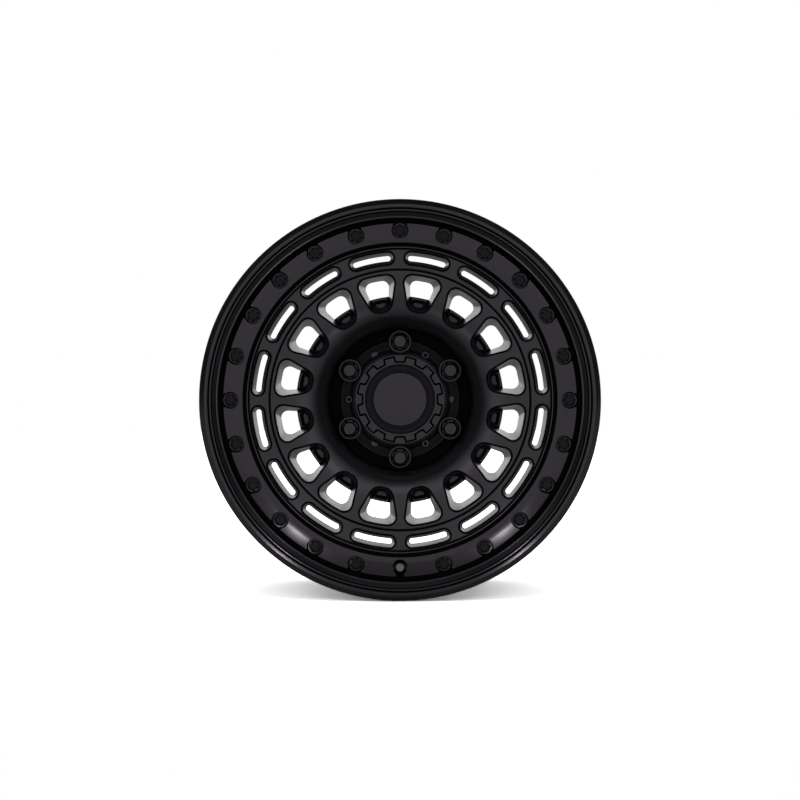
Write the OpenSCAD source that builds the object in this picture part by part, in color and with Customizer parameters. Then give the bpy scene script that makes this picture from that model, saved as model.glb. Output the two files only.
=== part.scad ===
// Cast off-road car wheel with its ring bolts, centre cap, lug nuts and tyre valve. Millimetres.
// The origin is on the wheel's axis, in the plane of its hub mounting face. The street side looks
// along -Y, the hub side along +Y, and +Z is up. The valve is at the bottom.

/* [Rim] */
// Diameter of the tyre's bead seats
bead_d = 436.6; // [425:0.1:470]
// Width between the flanges that hold the tyre
rim_w = 215.9; // [205:0.1:250]
// How far the mounting face lies in front of the rim's middle
wheel_offset = 0; // [-6:0.5:8]
// Height of the flanges over the bead seat
flange_h = 17.3; // [16:0.1:20]
// Width of each bead seat
seat_w = 21; // [19:0.5:24]
// Taper of the bead seats
seat_taper = 5; // [3:0.5:7]
// Height of the safety humps
hump_h = 1.3; // [0.8:0.1:2]
// Depth of the drop centre below the bead seat
drop_depth = 21; // [18:0.5:23]
// Width of the drop centre's floor
drop_w = 36; // [25:1:45]
// Depth of the barrel below the bead seat
barrel_depth = 9.3; // [8:0.1:11]
// Wall of the barrel
barrel_wall = 6.5; // [5:0.1:8]
// Thickness of the rear flange
rear_lip_t = 10; // [8:0.5:13]

/* [Lip] */
// How far the lip stands in front of the tyre's flange face
lip_t = 13.5; // [12:0.1:18]
// Distance from the bead seat in to the lip's inner wall
lip_wall = 5.3; // [4:0.1:7]
// Width of the channel between the lip and the ring face
channel_w = 5.5; // [4:0.1:8]
// Width of each of the lip's two inner steps
lip_step_w = 5.2; // [4:0.1:6]
// Height of each step of the lip
lip_step_h = 1.6; // [0.8:0.1:2]
// Width and depth of the fine grooves between the steps
lip_groove = 1; // [0.5:0.1:1.4]

/* [Ring face] */
// Width of the ring face
ring_w = 22.2; // [21:0.1:26]
// Depth of the ring face behind the front of the lip
ring_depth = 9.5; // [8:0.1:12]
// Width of the bevel on the ring's inner side
ring_bevel_w = 6; // [3:0.1:8]
// Height of that bevel
ring_bevel_h = 1.4; // [0.5:0.1:2]
// Depth of the channel and the bolt pockets below the ring face
pocket_depth = 8.6; // [8:0.1:10]
// Places for ring bolts round the ring, one of which is the valve's
ring_places = 24; // [18:1:26]
// Radius of the bolt pockets
pocket_r = 9.6; // [9:0.1:10.4]
// Distance from the ring's outer edge in to the bolt circle
ring_bolt_in = 8.6; // [8.2:0.1:10]

/* [Slots] */
// Width of the flat band that holds the slots
band_w = 26.6; // [25:0.1:32]
// Radial width of the step from the band up to the ring face
band_step_w = 3.4; // [2:0.1:4]
// Depth of the band behind the front of the lip
band_depth = 16.5; // [15:0.1:19]
// Thickness of the band
band_t = 17; // [12:0.5:20]
// Slots and windows round the wheel
spokes = 16; // [12:1:18]
// Radial width of a slot at its mouth
slot_w = 17; // [14:0.1:18]
// Half of the angle that a slot spans at its mouth
slot_half = 9.2; // [6:0.1:9.4]
// Corner radius of a slot at its mouth
slot_corner = 7; // [4:0.1:8]
// How far the slot's inner side leans in towards its back
slot_lean_in = 5.2; // [2:0.1:6]
// How far the slot's outer side and ends lean in
slot_lean = 3.2; // [1:0.1:5]
// Width and depth of the groove between the slotted band and the bowl
band_groove = 1.9; // [1:0.1:2.5]

/* [Windows] */
// Radius of the windows' inner ends
window_in_r = 105; // [98:0.5:112]
// Distance from the bowl's edge in to the windows
window_edge = 4.4; // [3:0.1:8]
// Half width of a window near its outer end
window_half_out = 24; // [18:0.1:24.4]
// Half width of a window near its inner end
window_half_in = 15.2; // [12:0.1:15.6]
// Corner radius at the outer end
window_corner_out = 9.5; // [6:0.1:12]
// Corner radius at the inner end
window_corner_in = 13; // [8:0.1:14]
// How far each side of a window leans in towards its back
window_lean_side = 8.8; // [4:0.1:10]
// How far the outer end of a window leans in
window_lean_out = 4.6; // [2:0.1:7]
// Thickness of the spokes
spoke_t = 35; // [30:0.5:38]

/* [Bowl and hub] */
// Radius at which the bowl's wall starts
bowl_in_r = 85; // [84.5:0.5:90]
// Thickness of the hub
hub_t = 40; // [37:0.5:43]
// How full the bowl's curve is
bowl_power = 2.7; // [2:0.1:3.5]
// Radius of the drum behind the windows' inner ends
drum_r = 124; // [118:0.5:128]
// Radius of the mounting pad at the back
back_pad_r = 84; // [83.6:0.2:90]
// Radius of the scoops at the windows' feet
scoop_r = 9.6; // [7:0.1:10]
// Depth of those scoops
scoop_depth = 6; // [3:0.5:8]
// Rim between the scoops and the drum's edge
scoop_rim = 1.6; // [1:0.1:3]
// Depth of the blank panel in the bowl
panel_depth = 0.8; // [0.4:0.1:1.5]
// Inner radius of that panel
panel_in_r = 90; // [88:0.1:94]
// Radial width of that panel
panel_w = 7.6; // [4:0.1:9]
// Angle that the panel spans
panel_angle = 50; // [20:1:80]
// Radius of the hub pilot bore
pilot_r = 53.05; // [48:0.05:54]
// Length of the pilot bore
pilot_l = 18; // [12:0.5:20]
// Depth of the pocket behind the centre cap
cap_pocket_depth = 12; // [10:0.5:14]
// Width of the ledge in that pocket, outside the cap's collar
cap_pocket_ledge = 3.4; // [3:0.1:3.8]

/* [Lug holes] */
// Lug holes
lugs = 6; // [5:1:6]
// Diameter of the lug circle
lug_circle_d = 139.7; // [139.7:0.1:141]
// Radius of the stud holes
stud_hole_r = 7.5; // [7:0.1:7.8]
// Length of the stud holes from the mounting face to the cone seat
stud_hole_l = 17.5; // [15:0.5:19]
// Radius of the pockets for the nuts
lug_pocket_r = 11.2; // [10.6:0.1:11.6]
// Wall of the bosses round the pockets
boss_wall = 2.4; // [1.8:0.1:2.6]
// How far the bosses stand over the hub
boss_h = 5.2; // [4:0.1:8]

/* [Lug nuts] */
// Radius of a nut
nut_r = 10.2; // [9.6:0.1:10.4]
// Length of a nut
nut_l = 49.5; // [40:0.5:52]
// Radius of the thread in a nut
nut_thread_r = 6; // [5.5:0.1:6]
// Radius of the flat end of a nut
nut_end_r = 6.3; // [5:0.1:7.5]
// Grooves round a nut
nut_grooves = 6; // [5:1:8]
// Radius of those grooves
nut_groove_r = 1.5; // [0.8:0.1:1.8]

/* [Ring bolts] */
// Radius of a bolt's flange
bolt_flange_r = 8.4; // [7.6:0.1:8.8]
// Width across the flats of a bolt's head
bolt_af = 12; // [10:0.1:12.4]
// Height of a bolt's head with its flange
bolt_head_h = 8; // [6:0.1:9]
// Radius of a bolt's shank
bolt_r = 4; // [3:0.1:4.5]
// Length of a bolt's shank
bolt_l = 15; // [10:0.5:16]

/* [Centre cap] */
// Thickness of the plate under the cap
plate_t = 3; // [2:0.1:4]
// Wall of the toothed collar at its top
collar_wall = 1; // [0.6:0.1:1.4]
// Height of the collar over the plate
collar_h = 7; // [5:0.1:10]
// How far the collar's flank runs out at its foot
collar_foot = 4; // [1:0.1:4.4]
// Inner radius of the collar between its teeth
collar_in_r = 52.5; // [52:0.1:52.6]
// Length of the teeth, from the collar's inner wall inwards
tooth_l = 6.7; // [5.6:0.1:7.6]
// Teeth round the collar
teeth = 12; // [8:1:14]
// Width of a tooth at its root
tooth_w_out = 12.2; // [9:0.1:14]
// Width of a tooth at its tip
tooth_w_in = 9.2; // [6:0.1:11]
// Gap between the teeth and the ring inside them
tooth_gap = 0.8; // [0.4:0.1:1.2]
// Width of the ring between the cap disc and the teeth
ring_wall = 3.7; // [3:0.1:4.6]
// Width of the ledge inside that ring, which the cap disc rests on
ledge_w = 4; // [3:0.1:5]
// Thickness of that ledge
ledge_t = 4; // [3:0.1:5]
// Thickness of the cap disc's border
cap_border_t = 2.2; // [1.6:0.1:3]
// Width of the cap disc's border round its raised middle
cap_border = 8.5; // [7:0.1:10]
// Height of the cap disc's raised middle over its border
cap_rise = 3.2; // [2:0.1:4]
// Thickness of the plate's floor under the cap
floor_t = 3; // [2:0.1:4]
// Distance from the collar out to the plate's screws
screw_out = 8.2; // [7.6:0.1:9]
// Distance from those screws out to the plate's edge
plate_edge = 9.3; // [7:0.1:11]
// Radius of the three blind domes between the screws
blind_r = 4.5; // [3.5:0.1:4.8]
// Height of those domes
blind_h = 2.2; // [1.6:0.1:3]
// Radius of a screw's head
screw_head_r = 4.6; // [4:0.1:4.8]
// Radius of a screw's shank
screw_r = 2.5; // [2:0.1:2.6]
// Length of a screw's shank
screw_l = 13; // [8:0.5:18]
// Height of a screw's head
screw_head_h = 2.8; // [2.4:0.1:3.4]
// Snap legs of the cap disc
snap_legs = 6; // [4:1:8]
// Width of a snap leg
snap_leg_w = 12; // [8:0.5:14]
// Thickness of a snap leg
snap_leg_t = 2.2; // [1.6:0.1:2.6]

/* [Tyre valve] */
// Lean of the valve towards the axis
valve_lean = 14; // [12:0.5:16]
// Radius of the hole in the rim
valve_hole_r = 5.75; // [5.6:0.05:6]
// Wall that the valve snaps into
valve_wall = 4; // [3.5:0.1:4.4]
// Radius of the bore round the valve
valve_bore_r = 8.8; // [8.4:0.1:9.2]
// Length of the valve in front of that wall, without its cap
valve_l = 32; // [30:0.5:33]
// Radius of the valve cap
valve_cap_r = 5; // [4.8:0.1:5.4]
// Length of the valve cap
valve_cap_l = 13.6; // [12.6:0.1:15]
// Radius of the valve's outer thread
valve_thread_r = 3.87; // [3.8:0.01:3.95]

/* [Hidden] */

// Clearances
fit_gap = 0.1;
seat_gap = 0.03;
slide_gap = 0.2;
thread_gap = 0.08;
over = 1;
hole_fn = 64;
body_fn = 180;

// Colours
matte_black = [0.09, 0.09, 0.1];
gloss_black = [0.03, 0.03, 0.035];
brass_colour = [0.72, 0.58, 0.3];
rubber_black = [0.05, 0.05, 0.05];
cap_grey = [0.3, 0.3, 0.31];

// Heights, measured from the mounting face towards the street
mid_z = -wheel_offset;
flange_z = mid_z + rim_w / 2;
lip_z = flange_z + lip_t;
ring_z = lip_z - ring_depth;
pocket_z = ring_z - pocket_depth;
band_z = lip_z - band_depth;
bowl_z = band_z - 1.2;
spoke_back_z = bowl_z - spoke_t;
drum_z = spoke_back_z - 3;

// Radii of the rim
bead_r = bead_d / 2;
lip_r = bead_r + flange_h;
drop_r = bead_r - drop_depth;
barrel_r = bead_r - barrel_depth;
barrel_in_r = barrel_r - barrel_wall;
drop_in_r = drop_r - barrel_wall - 0.5;

// Radii of the face, from the lip inwards
lip_in_r = bead_r - lip_wall;
ring_out_r = lip_in_r - channel_w;
ring_in_r = ring_out_r - ring_w;
ring_bolt_r = ring_out_r - ring_bolt_in;
band_out_r = ring_in_r - band_step_w;
band_in_r = band_out_r - band_w;
bowl_out_r = band_in_r - band_groove;
slot_mid_r = (band_in_r + band_out_r) / 2 - 0.8;
window_out_r = bowl_out_r - window_edge;

// Tyre side of the rim
seat_end_r = bead_r - seat_w * tan(seat_taper);
seat_z = flange_z - seat_w;
hump_l = 5;
slope_l = 20;
drop_front_z = seat_z - hump_l - slope_l;
drop_back_z = drop_front_z - drop_w;
barrel_z = drop_back_z - slope_l;
rear_flange_z = mid_z - rim_w / 2;
rear_seat_z = rear_flange_z + seat_w;
rear_z = rear_flange_z - rear_lip_t;
heel_r = 6.5;

// Hub
lug_circle_r = lug_circle_d / 2;
boss_r = lug_pocket_r + boss_wall;
boss_z = hub_t + boss_h;
seat_slope = 30;
collar_r = collar_in_r + collar_wall;
tooth_in_r = collar_in_r - tooth_l;
cap_r = tooth_in_r - tooth_gap - ring_wall - slide_gap;
cap_mid_r = cap_r - cap_border;
screw_circle_r = collar_r + screw_out;
plate_r = screw_circle_r + plate_edge;
cap_pocket_r = collar_in_r + cap_pocket_ledge;
cap_pocket_z = hub_t - cap_pocket_depth;
hub_land_r = pilot_r - 6;
half_turn = 360 / spokes / 2;
bowl_steps = 12;

// Rim hole of the valve, on the slope between the front hump and the drop centre
valve_seat_r = drop_r + 8.6;
valve_seat_z = drop_front_z + 8.7;
valve_spot_r = 10.4;

// A valve's inner sizes, from its seat in the rim hole outwards
tube_end = valve_wall + valve_l;
tube_r = 3;
thread_start = tube_end - 10;
core_chamber_r = 2.1;
core_thread_r = 2.65;
core_low = tube_end - 14;
core_top = tube_end - 1;
core_wall_r = 1.9;
core_bore_r = 1.5;
pin_r = 0.55;
pin_collar_z = tube_end - 3.8;
cup_h = 1.5;
cup_r = 1.7;
spring_wire_r = 0.17;
spring_turns = 6;

// Point i of n + 1 on an arc round [cx, cz]
function arc(cx, cz, r, from, to, n) =
    [for (i = [0:n]) let (a = from + (to - from) * i / n) [cx + r * cos(a), cz + r * sin(a)]];

function unit(v) = v / norm(v);
function mix(a, b, k) = a + (b - a) * k;
function turn_of(a, b) = let (d = b - a) d > 180 ? d - 360 : d < -180 ? d + 360 : d;

// The arc that rounds corner b of the corner a, b, c
function corner(a, b, c, r, n) =
    let (u = unit(a - b), v = unit(c - b), half = acos(u * v) / 2,
         o = b + unit(u + v) * r / sin(half),
         p = b + u * r / tan(half), q = b + v * r / tan(half),
         from = atan2(p.y - o.y, p.x - o.x), to = atan2(q.y - o.y, q.x - o.x))
    arc(o.x, o.y, r, from, from + turn_of(from, to), n);

// Rounded four-sided outline about the Y axis, with points along its two cross sides
function outline(low, high, half_low, half_high, corner_low, corner_high, n) =
    let (a = [half_low, low], b = [half_high, high], c = [-half_high, high], d = [-half_low, low],
         ca = corner(d, a, b, corner_low, n), cb = corner(a, b, c, corner_high, n),
         cc = corner(b, c, d, corner_high, n), cd = corner(c, d, a, corner_low, n))
    concat(ca, cb, [for (k = [1:3]) mix(cb[n], cc[0], k / 4)],
           cc, cd, [for (k = [1:3]) mix(cd[n], ca[0], k / 4)]);

// Bends an outline round the axis, so that its cross sides become arcs about the wheel's centre
function bent(points, ref_r) =
    [for (p = points) let (a = p.x / ref_r * 180 / PI) [p.y * sin(a), p.y * cos(a)]];

// Height of the bowl's surface at radius r
function bowl(r) =
    let (t = min(1, max(0, (r - bowl_in_r) / (bowl_out_r - bowl_in_r))))
    hub_t + (bowl_z - hub_t) * pow(1 - pow(1 - t, bowl_power), 1 / bowl_power);

// A solid between two outlines with the same number of points
module lofted(low, low_z, high, high_z) {
    n = len(low);
    polyhedron(
        points = concat([for (p = low) [p.x, p.y, low_z]], [for (p = high) [p.x, p.y, high_z]]),
        faces = concat(
            [[for (i = [0:n - 1]) i]], [[for (i = [n - 1:-1:0]) n + i]],
            [for (i = [0:n - 1]) [i, n + i, n + (i + 1) % n]],
            [for (i = [0:n - 1]) [i, n + (i + 1) % n, (i + 1) % n]]));
}

module around(count, start = 0, r = 0) {
    for (i = [0:count - 1]) rotate([0, 0, start + 360 * i / count]) translate([r, 0, 0]) children();
}

// Stands the wheel up, with its street side towards -Y
module upright() { rotate([90, 0, 0]) children(); }

// Places a valve piece at the rim hole, with its own z running out through the hole
module at_valve() { upright() translate([0, -valve_seat_r, valve_seat_z]) rotate([-valve_lean, 0, 0]) children(); }

// Section of the lip, from the channel out over the steps to the back of the flange
function lip_section() = let (
        a = lip_in_r + 1.6, b = a + lip_step_w, c = b + lip_step_w, g = lip_groove,
        z2 = lip_z - lip_step_h, z1 = z2 - lip_step_h)
    concat(
        [[lip_in_r - 0.5, pocket_z], [lip_in_r + 0.6, z1 - 1.2], [a, z1]],
        [[b - 0.4, z1], [b, z1 - g], [b + g, z1 - g], [b + g, z2]],
        [[c - 0.4, z2], [c, z2 - g], [c + g, z2 - g], [c + g, lip_z]],
        [for (p = arc(0, 0, 1, 90, 0, 6))
            [mix(c + g + 3.4, lip_r, p.x), mix(lip_z - 9, lip_z, p.y)]],
        arc(lip_r - 2.4, flange_z + 2.4, 2.4, 0, -90, 3),
        arc(bead_r + heel_r, flange_z - heel_r, heel_r, 90, 180, 4));

// Tyre side behind the front bead seat, from the front hump to the rear flange
function barrel_section() = concat(
        [[seat_end_r, seat_z], [seat_end_r + hump_h, seat_z - hump_l / 2], [seat_end_r, seat_z - hump_l]],
        [[drop_r + 1.2, drop_front_z + 1.8], [drop_r, drop_front_z - 1], [drop_r, drop_back_z + 1]],
        [[drop_r + 1, drop_back_z - 1.6], [barrel_r - 1, barrel_z + 1.6], [barrel_r, barrel_z - 1]],
        [[barrel_r, rear_seat_z + hump_l + 6], [seat_end_r, rear_seat_z + hump_l]],
        [[seat_end_r + hump_h, rear_seat_z + hump_l / 2], [seat_end_r, rear_seat_z]],
        arc(bead_r + heel_r, rear_flange_z + heel_r, heel_r, 180, 270, 4),
        arc(lip_r - 2.4, rear_flange_z - 2.4, 2.4, 90, 0, 3),
        arc(lip_r - 4, rear_z + 4, 4, 0, -90, 4));

// Hub side, from the rear flange in to the mounting pad
function inner_section() = let (band_back_z = band_z - band_t)
    [[barrel_in_r + 13, rear_z], [barrel_in_r + 11, rear_z + 1.5], [barrel_in_r + 3, rear_flange_z + 4],
     [barrel_in_r, rear_seat_z], [barrel_in_r, barrel_z - 4], [drop_in_r + 1, drop_back_z - 3],
     [drop_in_r, drop_back_z], [drop_in_r, drop_front_z - 2], [drop_in_r - 2.5, band_back_z - 5],
     [drop_in_r - 6.5, band_back_z], [band_in_r + 1.5, band_back_z], [bowl_out_r - 1.5, band_back_z - 3],
     [bowl_out_r - 4, spoke_back_z + 3], [bowl_out_r - 7, spoke_back_z], [drum_r, drum_z + 2],
     [drum_r, drum_z - 11], [drum_r - 6, drum_z - 16], [back_pad_r + 7, drum_z - 22],
     [back_pad_r + 3, 6], [back_pad_r, 0]];

// Front face, from the axis out to the channel inside the lip
function face_section() = concat(
        [[0, 0], [0, hub_t], [bowl_in_r - 2.5, hub_t]],
        [for (i = [1:bowl_steps - 1])
            let (t = pow(i / bowl_steps, 2), r = mix(bowl_in_r, bowl_out_r, t)) [r, bowl(r)]],
        [[bowl_out_r, bowl_z], [bowl_out_r + 0.3, band_z - band_groove - 1]],
        [[band_in_r - 0.3, band_z - band_groove - 1], [band_in_r, band_z]],
        [[band_out_r - 3.5, band_z], [band_out_r - 2.8, band_z - 0.9], [band_out_r - 1.8, band_z]],
        [[band_out_r, band_z], [ring_in_r, ring_z - ring_bevel_h], [ring_in_r + ring_bevel_w, ring_z]],
        [[ring_out_r - 0.7, ring_z], [ring_out_r, ring_z - 0.7], [ring_out_r + 0.4, pocket_z]]);

// A window cutter, from the drum's face to in front of the bowl
module window() {
    top_k = 1 + 14 / (bowl_z - drum_z);
    function ring(k) = bent(outline(
            mix(window_in_r + 5, window_in_r, k), mix(window_out_r - window_lean_out, window_out_r, k),
            window_half_in - window_lean_side * 0.55 * (1 - k),
            window_half_out - window_lean_side * (1 - k),
            window_corner_in - 4 * (1 - k), window_corner_out - 1.5 * (1 - k), 3), window_out_r - 8);
    lofted(ring(0), drum_z, ring(top_k), mix(drum_z, bowl_z, top_k));
}

// A slot cutter, right through the band
module slot() {
    low_z = band_z - band_t - 4;
    high_z = band_z + 3;
    arc_half = slot_half / 180 * PI * slot_mid_r;
    function ring(z) = let (
            k = (z - band_z) / band_t, half = arc_half + slot_lean * 1.2 * k,
            round = slot_corner * (1 + (slot_lean_in + slot_lean) / slot_w * k))
        bent(outline(
            slot_mid_r - slot_w / 2 - slot_lean_in * k, slot_mid_r + slot_w / 2 + slot_lean * k,
            half, half, round, round, 2), slot_mid_r);
    lofted(ring(low_z), low_z, ring(high_z), high_z);
}

// A stepped hole for one lug nut: pocket, cone seat and stud hole
module lug_hole() {
    seat_l = (lug_pocket_r - stud_hole_r) / tan(seat_slope);
    translate([0, 0, -over]) cylinder(r = stud_hole_r, h = stud_hole_l + 2 * over, $fn = hole_fn);
    translate([0, 0, stud_hole_l])
        cylinder(r1 = stud_hole_r, r2 = lug_pocket_r, h = seat_l, $fn = hole_fn);
    translate([0, 0, stud_hole_l + seat_l])
        cylinder(r = lug_pocket_r, h = boss_z, $fn = hole_fn);
}

// A pocket for one ring bolt, open to the channel, with its threaded hole
module ring_pocket() {
    translate([0, 0, pocket_z]) cylinder(r = pocket_r, h = pocket_depth + over, $fn = hole_fn);
    translate([0, -pocket_r * 0.8, pocket_z])
        cube([ring_bolt_in + 2, pocket_r * 1.6, pocket_depth + over]);
    translate([0, 0, pocket_z - bolt_l - 1])
        cylinder(r = bolt_r + fit_gap, h = bolt_l + 1 + over, $fn = hole_fn);
}

module wheel_casting() {
    color(matte_black) upright() difference() {
        union() {
            rotate_extrude($fn = body_fn)
                polygon(concat(face_section(), lip_section(), barrel_section(), inner_section()));
            around(lugs, 90, lug_circle_r) cylinder(r = boss_r, h = boss_z, $fn = hole_fn);
        }
        around(spokes, half_turn) rotate([0, 0, -90]) window();
        around(spokes, half_turn) rotate([0, 0, -90]) slot();
        intersection() {
            around(spokes, half_turn, drum_r - scoop_rim) translate([0, 0, drum_z - scoop_depth])
                cylinder(r1 = scoop_r * 0.7, r2 = scoop_r, h = scoop_depth + 0.6, $fn = hole_fn);
            cylinder(r = drum_r - scoop_rim, h = bowl_z, $fn = body_fn);
        }
        around(lugs, 90, lug_circle_r) lug_hole();
        rotate([0, 0, -90]) for (i = [1:ring_places - 1]) rotate([0, 0, 360 * i / ring_places])
            translate([ring_bolt_r, 0, 0]) ring_pocket();
        translate([0, 0, -over]) cylinder(r = pilot_r, h = pilot_l + over, $fn = body_fn);
        cylinder(r = hub_land_r, h = hub_t, $fn = body_fn);
        translate([0, 0, cap_pocket_z]) cylinder(r = cap_pocket_r, h = hub_t, $fn = body_fn);
        around(3, 60, screw_circle_r) translate([0, 0, hub_t - screw_l])
            cylinder(r = screw_r + fit_gap, h = screw_l + over, $fn = hole_fn);
        blank_panel();
        valve_hole();
    }
}

// The shallow blank panel in the bowl at the bottom of the wheel
module blank_panel() {
    rings = [for (i = [0:4]) panel_in_r + panel_w * i / 4];
    rotate([0, 0, -90 - panel_angle / 2]) rotate_extrude(angle = panel_angle, $fn = body_fn)
        polygon(concat([for (r = rings) [r, bowl(r) - panel_depth]],
                       [for (i = [4:-1:0]) [rings[i], bowl(rings[i]) + 8]]));
}

// The rim hole, its spot face on the tyre side, its bore from the ring face and the slot to the channel
module valve_hole() {
    translate([0, -valve_seat_r, valve_seat_z]) rotate([-valve_lean, 0, 0]) {
        translate([0, 0, -over]) cylinder(r = valve_hole_r, h = valve_wall + 2 * over, $fn = hole_fn);
        translate([0, 0, -12]) cylinder(r = valve_spot_r, h = 12, $fn = hole_fn);
        translate([0, 0, valve_wall]) cylinder(r = valve_bore_r, h = valve_l + 20, $fn = hole_fn);
    }
    translate([-4.7, -ring_out_r - 2, pocket_z]) cube([9.4, ring_bolt_in + 5, pocket_depth + over]);
}

// One hex flange bolt, with its flange's underside at z = 0
module ring_bolt() {
    flange_t = 1.3;
    translate([0, 0, -bolt_l]) cylinder(r = bolt_r, h = bolt_l + over, $fn = 32);
    rotate_extrude($fn = hole_fn) polygon([[0, 0], [bolt_flange_r - 0.4, 0], [bolt_flange_r, 0.4],
        [bolt_flange_r, flange_t], [bolt_af / 2 + 0.6, flange_t + 1.2], [bolt_af / 2 - 0.8, flange_t + 2.2],
        [0, flange_t + 2.2]]);
    intersection() {
        cylinder(r = bolt_af / 2 / cos(30), h = bolt_head_h, $fn = 6);
        rotate_extrude($fn = hole_fn) polygon([[0, 0], [bolt_af / 2 + 2, 0],
            [bolt_af / 2 + 2, bolt_head_h - 1.9], [bolt_af / 2 - 0.9, bolt_head_h], [0, bolt_head_h]]);
    }
}

module ring_bolts() {
    color(gloss_black) upright() rotate([0, 0, -90])
        for (i = [1:ring_places - 1]) rotate([0, 0, 360 * i / ring_places])
            translate([ring_bolt_r, 0, pocket_z + seat_gap]) ring_bolt();
}

// One closed nut with a cone seat, standing on its small end
module lug_nut() {
    foot_r = stud_hole_r + 0.5;
    cone_l = (nut_r - foot_r) / tan(seat_slope);
    difference() {
        rotate_extrude($fn = hole_fn) polygon([[0, 0], [foot_r, 0], [nut_r, cone_l], [nut_r, nut_l - 5],
            [nut_r - 0.8, nut_l - 3.4], [nut_end_r + 0.8, nut_l - 0.6], [nut_end_r, nut_l], [0, nut_l]]);
        translate([0, 0, -over]) cylinder(r = nut_thread_r, h = nut_l - 11 + over, $fn = hole_fn);
        around(nut_grooves, 30, nut_r) translate([0, 0, cone_l + 9])
            cylinder(r = nut_groove_r, h = nut_l, $fn = 24);
    }
}

module lug_nuts() {
    foot_z = stud_hole_l + 0.5 / tan(seat_slope) + seat_gap;
    color(gloss_black) upright() around(lugs, 90, lug_circle_r) translate([0, 0, foot_z]) lug_nut();
}

// Outline of one collar tooth, widened by gap on every side
module tooth(gap) {
    polygon([[tooth_in_r - gap, -tooth_w_in / 2 - gap], [collar_in_r + 1.5, -tooth_w_out / 2 - gap],
        [collar_in_r + 1.5, tooth_w_out / 2 + gap], [tooth_in_r - gap, tooth_w_in / 2 + gap]]);
}

// Heights of the cap's pieces
plate_z = hub_t + seat_gap;
plate_top = plate_z + plate_t;
collar_top = plate_top + collar_h;
floor_top = hub_t - 1;
floor_z = floor_top - floor_t;
floor_hole_r = cap_mid_r - 2.6;

// Scalloped plate with its collar and teeth, and three blind domes between the screws
module cap_base() {
    spigot_r = cap_pocket_r - slide_gap;
    color(matte_black) upright() difference() {
        union() {
            difference() {
                rotate_extrude($fn = body_fn) polygon([[floor_hole_r, floor_z], [spigot_r, floor_z],
                    [spigot_r, plate_z], [plate_r - 0.4, plate_z], [plate_r, plate_z + 0.4],
                    [plate_r, plate_top - 0.6], [plate_r - 0.6, plate_top],
                    [collar_r + collar_foot, plate_top], [collar_r + 0.4, collar_top - 0.5],
                    [collar_r, collar_top], [collar_in_r, collar_top], [collar_in_r, floor_top],
                    [floor_hole_r, floor_top]]);
                around(lugs, 90, lug_circle_r) translate([0, 0, floor_z - over])
                    cylinder(r = boss_r + slide_gap * 2, h = collar_top - floor_z + 2 * over, $fn = hole_fn);
            }
            intersection() {
                around(teeth, 0) translate([0, 0, floor_top - over])
                    linear_extrude(collar_top - floor_top + over) tooth(0);
                cylinder(r = collar_r - 0.2, h = collar_top, $fn = body_fn);
            }
            around(3, 0, screw_circle_r) translate([0, 0, plate_top - over]) dome(blind_r, blind_h + over);
        }
        around(3, 60, screw_circle_r) {
            translate([0, 0, plate_z - over])
                cylinder(r = screw_r + slide_gap, h = plate_t + 2 * over, $fn = hole_fn);
            translate([0, 0, plate_top])
                cylinder(r = screw_head_r + slide_gap * 2, h = collar_h + over, $fn = hole_fn);
        }
    }
}

// A low dome of radius r and height h
module dome(r, h) {
    crown = 1.2;
    rotate_extrude($fn = hole_fn) polygon(concat([[0, 0], [r, 0], [r, h - crown]],
        [for (p = arc(0, 0, 1, 15, 90, 5)) [r * p.x, h - crown + crown * p.y]]));
}

// The plate's three socket screws
module cap_screws() {
    socket_r = screw_head_r / 2;
    socket_depth = screw_head_h - 0.8;
    color(gloss_black) upright() around(3, 60, screw_circle_r) difference() {
        union() {
            translate([0, 0, plate_top + seat_gap]) dome(screw_head_r, screw_head_h);
            translate([0, 0, plate_top - screw_l + plate_t]) cylinder(r = screw_r, h = screw_l, $fn = 32);
        }
        translate([0, 0, plate_top + screw_head_h - socket_depth])
            cylinder(r = socket_r, h = socket_depth + over, $fn = 6);
    }
}

// Ring whose lobes fill the gaps between the collar's teeth
module cap_ring() {
    lobe_r = collar_in_r - tooth_gap;
    bore_r = cap_r + slide_gap;
    ledge_r = bore_r - ledge_w;
    ledge_z = floor_top + ledge_t;
    color(gloss_black) upright() difference() {
        rotate_extrude($fn = body_fn) polygon([[ledge_r, floor_top + seat_gap], [lobe_r, floor_top + seat_gap],
            [lobe_r, collar_top - 0.4], [lobe_r - 0.4, collar_top], [bore_r + 1.6, collar_top],
            [bore_r, collar_top - 1.4], [bore_r, ledge_z], [ledge_r, ledge_z]]);
        around(teeth, 0) translate([0, 0, floor_top - over])
            linear_extrude(collar_top - floor_top + 2 * over) tooth(tooth_gap);
    }
}

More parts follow.
